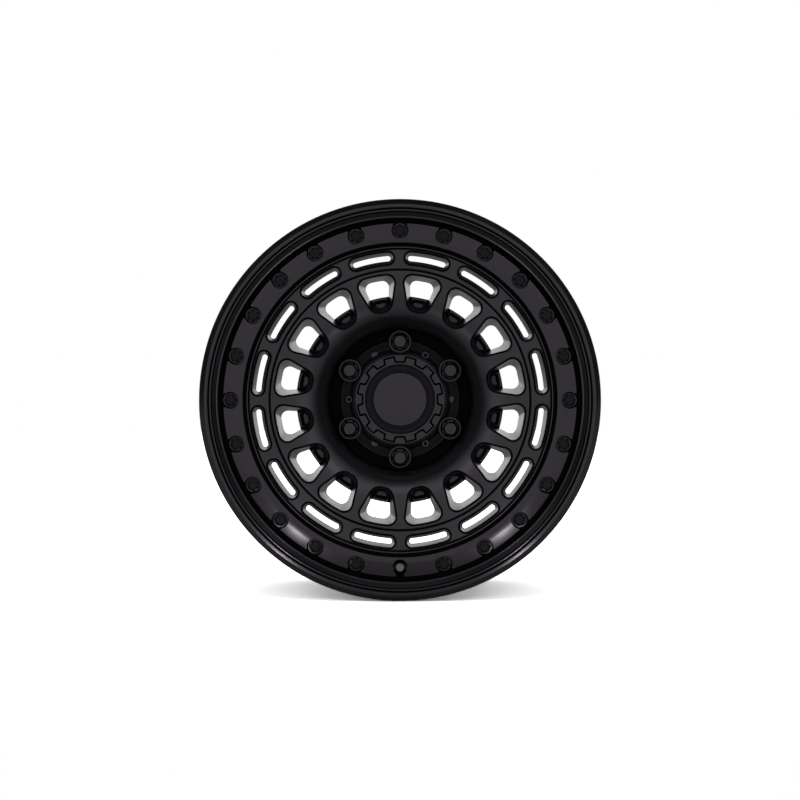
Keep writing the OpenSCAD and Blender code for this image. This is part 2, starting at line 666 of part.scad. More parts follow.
// Centre cap: a raised middle, a grooved border with one fine ridge, and snap legs under the plate's floor
module cap_disc() {
    rest_z = floor_top + ledge_t + seat_gap;
    border_z = rest_z + cap_border_t;
    under_z = border_z - 1.4;
    mid_z_top = border_z + cap_rise;
    ridge_r = cap_mid_r + cap_border * 0.36;
    leg_r = floor_hole_r - 2 * slide_gap;
    color(matte_black) upright() {
        rotate_extrude($fn = body_fn) polygon([[0, under_z], [0, mid_z_top + 0.6],
            [cap_mid_r * 0.5, mid_z_top + 0.45], [cap_mid_r - 1, mid_z_top], [cap_mid_r, mid_z_top - 0.8],
            [cap_mid_r + 0.3, border_z], [ridge_r - 0.5, border_z], [ridge_r, border_z + 0.6],
            [ridge_r + 0.5, border_z], [cap_r - 0.3, border_z], [cap_r, border_z - 0.3], [cap_r, rest_z],
            [cap_r - ledge_w - 1, rest_z], [cap_r - ledge_w - 2, under_z]]);
        intersection() {
            rotate_extrude($fn = body_fn) polygon([[leg_r - snap_leg_t, floor_z - 3.4],
                [leg_r - 0.4, floor_z - 3.4], [leg_r + 1.8, floor_z - slide_gap], [leg_r, floor_z - slide_gap],
                [leg_r, under_z + 0.4], [leg_r - snap_leg_t, under_z + 0.4]]);
            around(snap_legs, 30) translate([0, -snap_leg_w / 2, 0])
                cube([floor_hole_r + 5, snap_leg_w, collar_top]);
        }
    }
}

// Snap-in stem: a flange on the tyre side, a neck in the rim hole and a bulge that holds it there
module valve_rubber() {
    neck_r = valve_hole_r - fit_gap;
    color(rubber_black) at_valve() rotate_extrude($fn = hole_fn) polygon([
        [1.5, -7], [6, -7], [8.4, -5.4], [9.2, -1.8], [8.8, -seat_gap], [neck_r, -seat_gap],
        [neck_r, valve_wall + seat_gap], [7.4, valve_wall + seat_gap], [7.3, valve_wall + 1.6],
        [5.9, valve_wall + 6], [5.2, valve_wall + 12], [4.9, thread_start - 1.2], [4.4, thread_start - 0.4],
        [tube_r, thread_start - 0.4], [tube_r, 3], [1.5, 3]]);
}

// Threaded stem, bonded into the rubber
module valve_tube() {
    color(brass_colour) at_valve() rotate_extrude($fn = hole_fn) polygon([
        [1.5, 3], [tube_r, 3], [tube_r, thread_start - 0.4], [valve_thread_r, thread_start],
        [valve_thread_r, tube_end - 0.6], [valve_thread_r - 0.5, tube_end], [core_thread_r, tube_end],
        [core_thread_r, core_low + 6.4], [core_chamber_r, core_low + 5.6], [core_chamber_r, core_low - 4.4],
        [1.5, core_low - 5]]);
}

// Valve core's barrel, with its threaded head
module core_body() {
    color(brass_colour) at_valve() rotate_extrude($fn = 48) polygon([
        [pin_r + fit_gap, core_low], [core_wall_r, core_low], [core_wall_r, core_low + 5.4],
        [core_chamber_r - 0.05, core_low + 5.6], [core_thread_r - fit_gap / 2, core_low + 6.6],
        [core_thread_r - fit_gap / 2, core_top], [core_bore_r, core_top],
        [core_bore_r, core_low + 2], [pin_r + fit_gap, core_low + 2]]);
}

// Pin with the collar that its spring pushes on
module core_pin() {
    color(brass_colour) at_valve() rotate_extrude($fn = 48) polygon([
        [0, core_low - cup_h - 0.6], [pin_r + 0.5, core_low - cup_h - 0.6],
        [pin_r + 0.5, core_low - cup_h], [pin_r, core_low - cup_h], [pin_r, pin_collar_z],
        [core_bore_r - fit_gap, pin_collar_z], [core_bore_r - fit_gap, pin_collar_z + 0.6],
        [pin_r, pin_collar_z + 0.6], [pin_r, tube_end - 0.4], [0, tube_end - 0.4]]);
}

// Rubber cup that shuts the barrel's inner end
module core_cup() {
    color(rubber_black) at_valve() rotate_extrude($fn = 48) polygon([
        [pin_r, core_low - cup_h], [cup_r - 0.3, core_low - cup_h], [cup_r, core_low - cup_h + 0.4],
        [cup_r, core_low - seat_gap], [pin_r, core_low - seat_gap]]);
}

// Coil spring round the pin, between the barrel's floor and the pin's collar
module core_spring() {
    steps = 12;
    sides = 6;
    coil_r = (pin_r + core_bore_r) / 2 + 0.02;
    low = core_low + 2 + spring_wire_r + seat_gap;
    high = pin_collar_z - spring_wire_r - seat_gap;
    rings = spring_turns * steps;
    function place(i) = let (a = 360 * i / steps)
        [coil_r * cos(a), coil_r * sin(a), mix(low, high, i / rings)];
    function point(i, j) = let (a = 360 * i / steps, b = 360 * j / sides)
        place(i) + spring_wire_r * [cos(b) * cos(a), cos(b) * sin(a), sin(b)];
    color([0.6, 0.6, 0.6]) at_valve() polyhedron(
        points = [for (i = [0:rings]) for (j = [0:sides - 1]) point(i, j)],
        faces = concat(
            [[for (j = [0:sides - 1]) j]],
            [[for (j = [sides - 1:-1:0]) rings * sides + j]],
            [for (i = [0:rings - 1]) for (j = [0:sides - 1])
                [i * sides + j, (i + 1) * sides + j, (i + 1) * sides + (j + 1) % sides]],
            [for (i = [0:rings - 1]) for (j = [0:sides - 1])
                [i * sides + j, (i + 1) * sides + (j + 1) % sides, i * sides + (j + 1) % sides]]));
}

cap_seal_t = 1.2;

module valve_cap_seal() {
    color(rubber_black) at_valve() translate([0, 0, tube_end + seat_gap])
        cylinder(r = valve_thread_r - 0.05, h = cap_seal_t, $fn = 48);
}

// Screw cap with a fluted skirt and a rounded end
module valve_cap() {
    low = thread_start + 0.3;
    top = low + valve_cap_l;
    color(cap_grey) at_valve() difference() {
        rotate_extrude($fn = hole_fn) polygon(concat([[0, low], [valve_cap_r - 0.3, low],
            [valve_cap_r, low + 0.3]], arc(valve_cap_r - 1, top - 1, 1, 0, 90, 4), [[0, top]]));
        translate([0, 0, low - over])
            cylinder(r = valve_thread_r + thread_gap, h = tube_end + cap_seal_t + 2 * seat_gap - low + over, $fn = hole_fn);
        around(12, 0, valve_cap_r + 0.35) translate([0, 0, low - over])
            cylinder(r = 0.6, h = valve_cap_l - 2 + over, $fn = 16);
    }
}

wheel_casting();
ring_bolts();
lug_nuts();
cap_base();
cap_screws();
cap_ring();
cap_disc();
valve_rubber();
valve_tube();
core_body();
core_pin();
core_cup();
core_spring();
valve_cap_seal();
valve_cap();
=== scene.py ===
"""Cast off-road wheel: finished meshes, paint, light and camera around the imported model."""
import math

import bmesh
import bpy
from mathutils import Matrix, Vector


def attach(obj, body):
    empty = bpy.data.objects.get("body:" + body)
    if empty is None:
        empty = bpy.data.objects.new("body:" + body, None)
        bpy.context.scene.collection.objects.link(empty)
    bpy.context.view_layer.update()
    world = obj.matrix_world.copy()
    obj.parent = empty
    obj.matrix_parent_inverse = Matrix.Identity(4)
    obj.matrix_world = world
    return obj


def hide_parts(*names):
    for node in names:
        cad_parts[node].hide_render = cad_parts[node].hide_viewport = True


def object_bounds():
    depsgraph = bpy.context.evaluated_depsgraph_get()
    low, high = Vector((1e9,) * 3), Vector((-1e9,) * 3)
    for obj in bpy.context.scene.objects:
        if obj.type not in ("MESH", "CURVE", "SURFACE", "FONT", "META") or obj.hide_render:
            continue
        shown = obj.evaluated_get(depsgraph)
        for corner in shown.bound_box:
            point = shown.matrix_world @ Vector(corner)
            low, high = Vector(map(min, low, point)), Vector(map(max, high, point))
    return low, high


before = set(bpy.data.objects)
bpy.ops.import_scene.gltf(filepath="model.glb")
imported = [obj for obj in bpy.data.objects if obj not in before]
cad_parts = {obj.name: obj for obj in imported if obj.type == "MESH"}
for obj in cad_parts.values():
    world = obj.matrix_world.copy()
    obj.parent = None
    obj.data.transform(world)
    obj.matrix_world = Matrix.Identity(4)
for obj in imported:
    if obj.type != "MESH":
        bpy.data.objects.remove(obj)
cad_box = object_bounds()

MM = 0.001

# Sizes of the wheel, in millimetres. Some edges of the face are finer here than in the solids
BEAD_R = 218.3
RIM_W = 215.9
FLANGE_H = 17.3
SEAT_W = 21.0
SEAT_TAPER = 5.0
HUMP_H = 1.3
DROP_DEPTH = 21.0
DROP_W = 36.0
BARREL_DEPTH = 9.3
BARREL_WALL = 6.5
REAR_LIP_T = 10.0
LIP_T = 13.5
LIP_WALL = 5.3
CHANNEL_W = 5.5
LIP_STEP_H = 1.6
LIP_GROOVE = 1.2
LIP_EDGE_W = 2.4
LIP_CONE_W = 4.65
LIP_CREST = 1.7
LIP_CHAMFER_W = 6.0
LIP_CHAMFER_H = 7.6
RING_W = 22.8
RING_DEPTH = 9.5
RING_BEVEL_W = 6.0
RING_BEVEL_H = 1.4
RING_FACET_W = 14.0
RING_FACET_H = 1.5
POCKET_DEPTH = 8.6
RING_PLACES = 24
POCKET_R = 9.6
RING_BOLT_IN = 8.6
BAND_W = 27.3
BAND_STEP_W = 2.8
BAND_DEPTH = 16.5
BAND_T = 17.0
BAND_GROOVE = 1.9
GROOVE_DEPTH = 3.4
BOWL_EDGE_R = 6.5
STEP_GROOVE = 1.9
SPOKES = 16
SLOT_W = 14.6
SLOT_HALF = 9.0
SPOKE_TURN = 0.28
SLOT_CORNER = 7.0
SLOT_LEAN_IN = 4.6
SLOT_LEAN = 3.8
WINDOW_IN_R = 105.0
WINDOW_EDGE = 5.0
WINDOW_HALF_OUT = 24.0
WINDOW_HALF_IN = 15.2
WINDOW_CORNER_OUT = 9.5
WINDOW_CORNER_IN = 13.0
WINDOW_LEAN_SIDE = 8.8
WINDOW_LEAN_OUT = 4.6
WINDOW_FOOT = 1.8
SPOKE_T = 35.0
BOWL_IN_R = 85.0
BOWL_POWER = 2.7
HUB_T = 40.0
DRUM_R = 124.0
BACK_PAD_R = 84.0
SCOOP_R = 9.6
SCOOP_DEPTH = 4.0
SCOOP_RIM = 3.2
PANEL_DEPTH = 0.8
PANEL_IN_R = 90.0
PANEL_W = 7.6
PANEL_ANGLE = 50.0
PILOT_R = 53.05
PILOT_L = 18.0
LUGS = 6
LUG_CIRCLE_R = 69.85
STUD_HOLE_R = 7.5
STUD_HOLE_L = 17.5
LUG_POCKET_R = 11.2
BOSS_WALL = 2.4
BOSS_H = 5.2
NUT_R = 10.2
NUT_L = 49.5
NUT_END_R = 6.3
NUT_THREAD_R = 6.0
NUT_GROOVES = 6
NUT_GROOVE_R = 1.5
BOLT_FLANGE_R = 8.9
BOLT_AF = 12.0
BOLT_HEAD_H = 8.0
BOLT_R = 4.0
BOLT_L = 15.0
PLATE_R = 71.0
PLATE_T = 3.0
COLLAR_R = 53.5
COLLAR_H = 7.0
COLLAR_FOOT = 8.6
COLLAR_IN_R = 52.5
TOOTH_IN_R = 46.2
TEETH = 12
TOOTH_W_OUT = 14.6
TOOTH_W_IN = 8.8
TOOTH_GAP = 1.9
CAP_R = 41.1
CAP_MID_R = 32.6
SCREW_CIRCLE_R = 61.7
SCREW_HEAD_R = 4.6
SCREW_R = 2.5
SCREW_L = 13.0
SNAP_LEGS = 6
VALVE_LEAN = 14.0
VALVE_HOLE_R = 5.75
VALVE_WALL = 4.0
VALVE_BORE_R = 8.8
VALVE_L = 32.0
VALVE_CAP_R = 5.0
VALVE_CAP_L = 13.6
VALVE_THREAD_R = 3.87
SEAT_GAP = 0.03
SLIDE_GAP = 0.2

# Heights over the mounting face, towards the street
FLANGE_Z = RIM_W / 2
LIP_Z = FLANGE_Z + LIP_T
RING_Z = LIP_Z - RING_DEPTH
POCKET_Z = RING_Z - POCKET_DEPTH
BAND_Z = LIP_Z - BAND_DEPTH
BOWL_Z = BAND_Z - 1.2
SPOKE_BACK_Z = BOWL_Z - SPOKE_T
DRUM_Z = SPOKE_BACK_Z - 3
BOSS_Z = HUB_T + BOSS_H
BAND_BACK_Z = BAND_Z - BAND_T

# Radii
LIP_R = BEAD_R + FLANGE_H
DROP_R = BEAD_R - DROP_DEPTH
BARREL_R = BEAD_R - BARREL_DEPTH
BARREL_IN_R = BARREL_R - BARREL_WALL
DROP_IN_R = DROP_R - BARREL_WALL - 0.5
LIP_IN_R = BEAD_R - LIP_WALL
LIP_CONE_R = LIP_IN_R + LIP_EDGE_W
LIP_CONE_END_R = LIP_CONE_R + LIP_CONE_W
LIP_CREST_R = LIP_CONE_END_R + LIP_GROOVE
LIP_TOP_R = LIP_CREST_R + LIP_CREST + LIP_GROOVE + 1.1
RING_OUT_R = LIP_IN_R - CHANNEL_W
RING_IN_R = RING_OUT_R - RING_W
RING_BOLT_R = RING_OUT_R - RING_BOLT_IN
RING_FACET_R = RING_OUT_R - RING_FACET_W
BAND_OUT_R = RING_IN_R - BAND_STEP_W
BAND_IN_R = BAND_OUT_R - BAND_W
BOWL_OUT_R = BAND_IN_R - BAND_GROOVE
SLOT_MID_R = (BAND_IN_R + BAND_OUT_R) / 2 - 0.85
WINDOW_OUT_R = BOWL_OUT_R - WINDOW_EDGE
HALF_TURN = 180.0 / SPOKES

# Tyre side of the rim
SEAT_END_R = BEAD_R - SEAT_W * math.tan(math.radians(SEAT_TAPER))
SEAT_Z = FLANGE_Z - SEAT_W
HUMP_L = 5.0
SLOPE_L = 20.0
DROP_FRONT_Z = SEAT_Z - HUMP_L - SLOPE_L
DROP_BACK_Z = DROP_FRONT_Z - DROP_W
BARREL_Z = DROP_BACK_Z - SLOPE_L
REAR_FLANGE_Z = -RIM_W / 2
REAR_SEAT_Z = REAR_FLANGE_Z + SEAT_W
REAR_Z = REAR_FLANGE_Z - REAR_LIP_T
HEEL_R = 6.5

# Hub and cap
BOSS_R = LUG_POCKET_R + BOSS_WALL
CAP_POCKET_R = COLLAR_IN_R + 3.4
CAP_POCKET_Z = HUB_T - 12
HUB_LAND_R = PILOT_R - 6
PLATE_Z = HUB_T + SEAT_GAP
PLATE_TOP = PLATE_Z + PLATE_T
COLLAR_TOP = PLATE_TOP + COLLAR_H
FLOOR_TOP = HUB_T - 1
FLOOR_Z = FLOOR_TOP - 3
FLOOR_HOLE_R = 30.0

# Tyre valve
VALVE_SEAT_R = DROP_R + 8.6
VALVE_SEAT_Z = DROP_FRONT_Z + 8.7
VALVE_SPOT_R = 10.4
TUBE_END = VALVE_WALL + VALVE_L
THREAD_START = TUBE_END - 10

# Steps round the rim, along the sides of openings and round their edges
RIM_SEGMENTS = 160
SIDE_POINTS = 5
CORNER_STEPS = 3
EDGE_STEPS = 4
WALL_LEVELS = 3

# Paints of the casting, in the order of its material slots; the last two hold painted shade
ON_FACE, ON_RING, ON_BARREL, ON_PAINTED_SHADE, ON_CONE_SHADE = range(5)

# Camera and floor, in metres, and the floor's brightness to lamps and to the camera
CAMERA_LENS = 80.63
CAMERA_DISTANCE = 2.09
CAMERA_HEIGHT = 0.032
CAMERA_AIM = 0.00045
FLOOR_REACH = 6.0
FLOOR_FRONT = 0.95
FLOOR_PALE = 0.8
FLOOR_WHITE = 3.6


def wheel_at(x, y, z):
    """Face frame in millimetres, z out to the street, to the scene in metres."""
    return Vector((x * MM, -z * MM, y * MM))


def spot_at(angle, radius):
    """A place on the face, turned so that its own x runs away from the axis."""
    turn = Matrix.Rotation(math.radians(angle), 4, "Z") @ Matrix.Translation((radius, 0, 0))
    return lambda x, y, z: wheel_at(*(turn @ Vector((x, y, z))))


def valve_at(x, y, z):
    """The valve's own frame, z out through the rim hole."""
    lean = Matrix.Translation((0, -VALVE_SEAT_R, VALVE_SEAT_Z)) @ Matrix.Rotation(
        math.radians(-VALVE_LEAN), 4, "X")
    return wheel_at(*(lean @ Vector((x, y, z))))


def mix(a, b, k):
    return a + (b - a) * k


def arc(cx, cz, radius, start, end, steps):
    """Points on an arc, angles in degrees."""
    turns = [math.radians(start + (end - start) * i / steps) for i in range(steps + 1)]
    return [(cx + radius * math.cos(t), cz + radius * math.sin(t)) for t in turns]


def corner(a, b, c, radius, steps):
    """The arc that rounds corner b between a and c."""
    b = Vector(b)
    u, v = Vector(a) - b, Vector(c) - b
    reach_u, reach_v = u.length, v.length
    u.normalize()
    v.normalize()
    half = u.angle(v) / 2
    if half > math.radians(88):
        return [tuple(b)] * (steps + 1)
    reach = min(radius / math.tan(half), reach_u * 0.48, reach_v * 0.48)
    radius = reach * math.tan(half)
    o = b + (u + v).normalized() * (radius / math.sin(half))
    p, q = b + u * reach - o, b + v * reach - o
    start, end = math.atan2(p.y, p.x), math.atan2(q.y, q.x)
    turn = (end - start + math.pi) % (2 * math.pi) - math.pi
    return [(o.x + radius * math.cos(start + turn * i / steps),
             o.y + radius * math.sin(start + turn * i / steps)) for i in range(steps + 1)]


def rounded(points):
    """A closed section whose points may carry a fillet radius as their third number."""
    out = []
    for i, p in enumerate(points):
        if len(p) > 2:
            after = points[(i + 1) % len(points)]
            out += corner(points[i - 1][:2], p[:2], after[:2], p[2], CORNER_STEPS)
        else:
            out.append(p)
    return out


def outline(low, high, half_low, half_high, corner_low, corner_high, steps=6):
    """Rounded four-sided outline about the y axis, with extra points on its sides."""
    a, b, c, d = (half_low, low), (half_high, high), (-half_high, high), (-half_low, low)
    ca, cb = corner(d, a, b, corner_low, steps), corner(a, b, c, corner_high, steps)
    cc, cd = corner(b, c, d, corner_high, steps), corner(c, d, a, corner_low, steps)

    def between(p, q):
        shares = [k / (SIDE_POINTS + 1) for k in range(1, SIDE_POINTS + 1)]
        return [(mix(p[0], q[0], k), mix(p[1], q[1], k)) for k in shares]
    return (ca + between(ca[-1], cb[0]) + cb + between(cb[-1], cc[0])
            + cc + between(cc[-1], cd[0]) + cd + between(cd[-1], ca[0]))


def bent(points, ref_r):
    """Bends an outline round the axis, so that its cross sides become arcs about the wheel's centre."""
    return [(y * math.sin(x / ref_r), y * math.cos(x / ref_r)) for x, y in points]


def grown(loop, distance):
    """A loop moved outwards by a distance."""
    out = []
    n = len(loop)
    area = sum(loop[i][0] * loop[(i + 1) % n][1] - loop[(i + 1) % n][0] * loop[i][1] for i in range(n))
    side = 1 if area > 0 else -1
    for i, p in enumerate(loop):
        a, b = loop[i - 1], loop[(i + 1) % n]
        t = Vector((b[0] - a[0], b[1] - a[1]))
        if t.length > 1e-9:
            t.normalize()
        out.append((p[0] + side * t.y * distance, p[1] - side * t.x * distance))
    return out


def bowl(r):
    """Height of the bowl's surface."""
    t = min(1.0, max(0.0, (r - BOWL_IN_R) / (BOWL_OUT_R - BOWL_IN_R)))
    return HUB_T + (BOWL_Z - HUB_T) * (1 - (1 - t) ** BOWL_POWER) ** (1 / BOWL_POWER)


def mesh_object(name, verts, faces, paints, paint_of=None):
    """A closed object whose faces are turned outwards."""
    mesh = bpy.data.meshes.new(name)
    mesh.from_pydata([tuple(v) for v in verts], [], faces)
    for paint in paints:
        mesh.materials.append(paint)
    if paint_of:
        mesh.polygons.foreach_set("material_index", paint_of)
    bm = bmesh.new()
    bm.from_mesh(mesh)
    bmesh.ops.recalc_face_normals(bm, faces=bm.faces)
    bm.to_mesh(mesh)
    bm.free()
    obj = bpy.data.objects.new(name, mesh)
    bpy.context.scene.collection.objects.link(obj)
    return obj


def revolved(section, segments, at=wheel_at):
    """Vertices and faces of a section turned about the local z axis."""
    verts, rows, faces = [], [], []
    for r, z in section:
        count = 1 if r < 1e-6 else segments
        rows.append(range(len(verts), len(verts) + count))
        for s in range(count):
            t = 2 * math.pi * s / segments
            verts.append(at(r * math.cos(t), r * math.sin(t), z))
    for i in range(len(rows)):
        a, b = rows[i], rows[(i + 1) % len(rows)]
        if len(a) == 1 and len(b) == 1:
            continue
        for s in range(segments):
            t = (s + 1) % segments
            quad = [a[s % len(a)], a[t % len(a)], b[t % len(b)], b[s % len(b)]]
            faces.append(list(dict.fromkeys(quad)))
    return verts, faces


def stacked(loops, at=wheel_at, ring=False):
    """Vertices and faces through loops of (x, y, z), closed by flat ends or, as a ring, into itself."""
    n = len(loops[0])
    verts = [at(*p) for loop in loops for p in loop]
    faces = []
    for i in range(len(loops) if ring else len(loops) - 1):
        a, b = i * n, (i + 1) % len(loops) * n
        faces += [[a + j, a + (j + 1) % n, b + (j + 1) % n, b + j] for j in range(n)]
    if not ring:
        faces += [list(range(n)), list(range((len(loops) - 1) * n, len(loops) * n))]
    return verts, faces


def joined(parts):
    """Several vertex and face lists as one."""
    verts, faces = [], []
    for v, f in parts:
        base = len(verts)
        verts += v
        faces += [[base + i for i in face] for face in f]
    return verts, faces


def carve(target, cutter, operation="DIFFERENCE"):
    """Applies a boolean to the target's mesh and deletes the cutter."""
    mod = target.modifiers.new("carve", "BOOLEAN")
    mod.operation = operation
    mod.solver = "MANIFOLD"
    mod.object = cutter
    depsgraph = bpy.context.evaluated_depsgraph_get()
    mesh = bpy.data.meshes.new_from_object(target.evaluated_get(depsgraph))
    target.modifiers.remove(mod)
    target.data = mesh
    bpy.data.objects.remove(cutter)


def polish(obj, sharp=38.0):
    """Smooth shading that keeps sharp edges, with normals that follow the larger faces."""
    mesh = obj.data
    mesh.polygons.foreach_set("use_smooth", [True] * len(mesh.polygons))
    mesh.set_sharp_from_angle(angle=math.radians(sharp))
    mod = obj.modifiers.new("normals", "WEIGHTED_NORMAL")
    mod.keep_sharp = True
    mod.weight = 60


def pocket(outline_at, surface, floor_z, mouth, foot, rise=3.0):
    """Loops of a drafted pocket with a rounded foot and a mouth that rolls out into the surface."""
    loops = []
    for i in range(EDGE_STEPS if foot else 0):
        a = math.radians(90 * i / EDGE_STEPS)
        z = floor_z + foot * (1 - math.cos(a))
        loops.append([(x, y, z) for x, y in grown(outline_at(z), -foot * (1 - math.sin(a)))])
    foot_z = floor_z + foot
    loops.append([(x, y, foot_z) for x, y in outline_at(foot_z)])
    count = len(loops[0])
    guess = outline_at(surface(*outline_at(floor_z)[0]))
    mouth_loops = []
    for i in range(EDGE_STEPS + 1):
        a = math.radians(80 * i / EDGE_STEPS)
        out, down = mouth * (1 - math.cos(a)), mouth * (1 - math.sin(a))
        loop = []
        for j in range(count):
            z = surface(*guess[j]) - down
            x, y = grown(outline_at(z), out)[j]
            loop.append((x, y, surface(x, y) - down))
        mouth_loops.append(loop)
        guess = [p[:2] for p in loop]
    for k in range(1, WALL_LEVELS + 1):
        heights = [mix(foot_z, p[2], k / (WALL_LEVELS + 1)) for p in mouth_loops[0]]
        loops.append([(*outline_at(z)[j], z) for j, z in enumerate(heights)])
    loops += mouth_loops
    loops.append([(x, y, surface(x, y) + rise) for x, y, z in loops[-1]])
    return loops


def turned(loops, angle):
    """Loops turned about the wheel's axis."""
    c, s = math.cos(math.radians(angle)), math.sin(math.radians(angle))
    return [[(x * c - y * s, x * s + y * c, z) for x, y, z in loop] for loop in loops]


# Materials

def paint(name, colour, roughness, grain=0.0, grain_scale=900.0, variation=0.03, specular=0.5,
          metallic=0.0, tint=(0.965, 0.875, 1.0)):
    """A painted or moulded finish with a fine grain and slight changes in its gloss."""
    mat = bpy.data.materials.new(name)
    mat.use_nodes = True
    nodes, links = mat.node_tree.nodes, mat.node_tree.links
    shader = nodes["Principled BSDF"]
    shader.inputs["Metallic"].default_value = metallic
    shader.inputs["Specular IOR Level"].default_value = specular
    shader.inputs["Specular Tint"].default_value = (*tint, 1)
    where = nodes.new("ShaderNodeTexCoord")
    patches = nodes.new("ShaderNodeTexNoise")
    patches.inputs["Scale"].default_value = 22
    patches.inputs["Detail"].default_value = 5
    links.new(where.outputs["Object"], patches.inputs["Vector"])
    gloss = nodes.new("ShaderNodeMapRange")
    gloss.inputs["From Min"].default_value = 0.3
    gloss.inputs["From Max"].default_value = 0.7
    gloss.inputs["To Min"].default_value = roughness - variation
    gloss.inputs["To Max"].default_value = roughness + variation
    links.new(patches.outputs["Fac"], gloss.inputs["Value"])
    links.new(gloss.outputs["Result"], shader.inputs["Roughness"])
    shade = nodes.new("ShaderNodeMix")
    shade.data_type = "RGBA"
    shade.inputs["A"].default_value = (*[c * 0.88 for c in colour], 1)
    shade.inputs["B"].default_value = (*[c * 1.12 for c in colour], 1)
    links.new(patches.outputs["Fac"], shade.inputs["Factor"])
    links.new(shade.outputs["Result"], shader.inputs["Base Color"])
    if grain:
        fine = nodes.new("ShaderNodeTexNoise")
        fine.inputs["Scale"].default_value = grain_scale
        fine.inputs["Detail"].default_value = 3
        links.new(where.outputs["Object"], fine.inputs["Vector"])
        bump = nodes.new("ShaderNodeBump")
        bump.inputs["Strength"].default_value = grain
        bump.inputs["Distance"].default_value = 0.0002
        links.new(fine.outputs["Fac"], bump.inputs["Height"])
        links.new(bump.outputs["Normal"], shader.inputs["Normal"])
    return mat


SATIN = paint("satin_black", (0.005, 0.0046, 0.0053), 0.33, grain=0.1, variation=0.04)
GLOSS = paint("gloss_black", (0.004, 0.0037, 0.0043), 0.2, grain=0.03, grain_scale=300, variation=0.03)
# Flat black that hardly reflects: painted shade for the floors, walls and mouths of recesses, grooves and
# gaps
PAINTED_SHADE = paint("painted_shade_black", (0.002, 0.0018, 0.0022), 0.6, grain=0.2, variation=0.04, specular=0.02)
# The cap plate's black paint, made duller than the cap as painted shade at the bottom of the bowl
PLATE_SHADE = paint("plate_painted_shade", (0.004, 0.0037, 0.0042), 0.5, grain=0.2, variation=0.04, specular=0.08)
BARREL = paint("barrel_black", (0.005, 0.0046, 0.0053), 0.34, grain=0.1, variation=0.04)
BOLT = paint("bolt_black", (0.005, 0.0047, 0.0052), 0.27, grain=0.08, variation=0.03)
NUT = paint("nut_black", (0.006, 0.0056, 0.0063), 0.27, grain=0.06, variation=0.03)
CAP = paint("cap_satin", (0.005, 0.0046, 0.0053), 0.34, grain=0.1, variation=0.03)
BORDER = paint("cap_border", (0.003, 0.0028, 0.0032), 0.5, grain=0.15, variation=0.04, specular=0.15)
# A darker black with a weak reflection for the lip's inner cone and outer chamfer: painted shade
CONE_SHADE = paint("cone_painted_shade", (0.003, 0.0028, 0.0032), 0.25, grain=0.03, grain_scale=300, specular=0.17)
PLAIN_TINT = (1.0, 1.0, 1.0)
RUBBER = paint("moulded_rubber", (0.012, 0.012, 0.0125), 0.65, grain=0.3, variation=0.05, specular=0.35,
               tint=PLAIN_TINT)
VALVE_GREY = paint("valve_grey", (0.09, 0.088, 0.092), 0.4, grain=0.1, variation=0.04, tint=PLAIN_TINT)
BRASS = paint("turned_brass", (0.72, 0.56, 0.28), 0.28, grain=0.05, variation=0.05, metallic=1.0,
              tint=PLAIN_TINT)
STEEL = paint("spring_wire", (0.6, 0.6, 0.6), 0.3, grain=0.05, variation=0.05, metallic=1.0,
              tint=PLAIN_TINT)


# The casting

def ring_top(r):
    """Height of the ring's face, whose outer part falls away in a slight curve."""
    return RING_Z - RING_FACET_H * (max(0.0, r - RING_FACET_R) / RING_FACET_W) ** 1.3


def face_section():
    """Front of the casting, from the mouth of the cap pocket out to the channel inside the lip."""
    inner_edge, outer_edge = BAND_OUT_R - 4.9, BAND_OUT_R - 1.3
    steps = 26
    bowl_radii = [mix(BOWL_IN_R, BOWL_OUT_R, (i / steps) ** 2) for i in range(2, steps)]
    return (
        [(CAP_POCKET_R, CAP_POCKET_Z, 0.5), (CAP_POCKET_R, HUB_T, 0.6), (BOWL_IN_R - 0.6, HUB_T, 5.0)]
        + [(r, bowl(r)) for r in bowl_radii]
        + [(BOWL_OUT_R - 0.2, BOWL_Z, BOWL_EDGE_R), (BOWL_OUT_R, BAND_Z - GROOVE_DEPTH, 0.3),
           (BAND_IN_R - 0.2, BAND_Z - GROOVE_DEPTH, 0.3), (BAND_IN_R, BAND_Z, 0.8),
           (inner_edge, BAND_Z, 0.9), (inner_edge + 0.3, BAND_Z - GROOVE_DEPTH, 0.3),
           (inner_edge + STEP_GROOVE, BAND_Z - GROOVE_DEPTH, 0.3),
           (inner_edge + STEP_GROOVE + 0.2, BAND_Z - 0.3, 0.35), (outer_edge, BAND_Z - 0.3, 0.35),
           (outer_edge + 0.3, BAND_Z - GROOVE_DEPTH, 0.3), (RING_IN_R - 0.2, BAND_Z - GROOVE_DEPTH, 0.3),
           (RING_IN_R, RING_Z - RING_BEVEL_H, 0.8), (RING_IN_R + RING_BEVEL_W, RING_Z, 2.0),
           (RING_FACET_R, RING_Z, 0.2)]
        + [(RING_FACET_R + k, ring_top(RING_FACET_R + k)) for k in (2.5, 5.0, 7.5, 10.0, 12.0)]
        + [(RING_OUT_R, ring_top(RING_OUT_R), 0.8), (RING_OUT_R + 0.4, POCKET_Z, 0.8)])


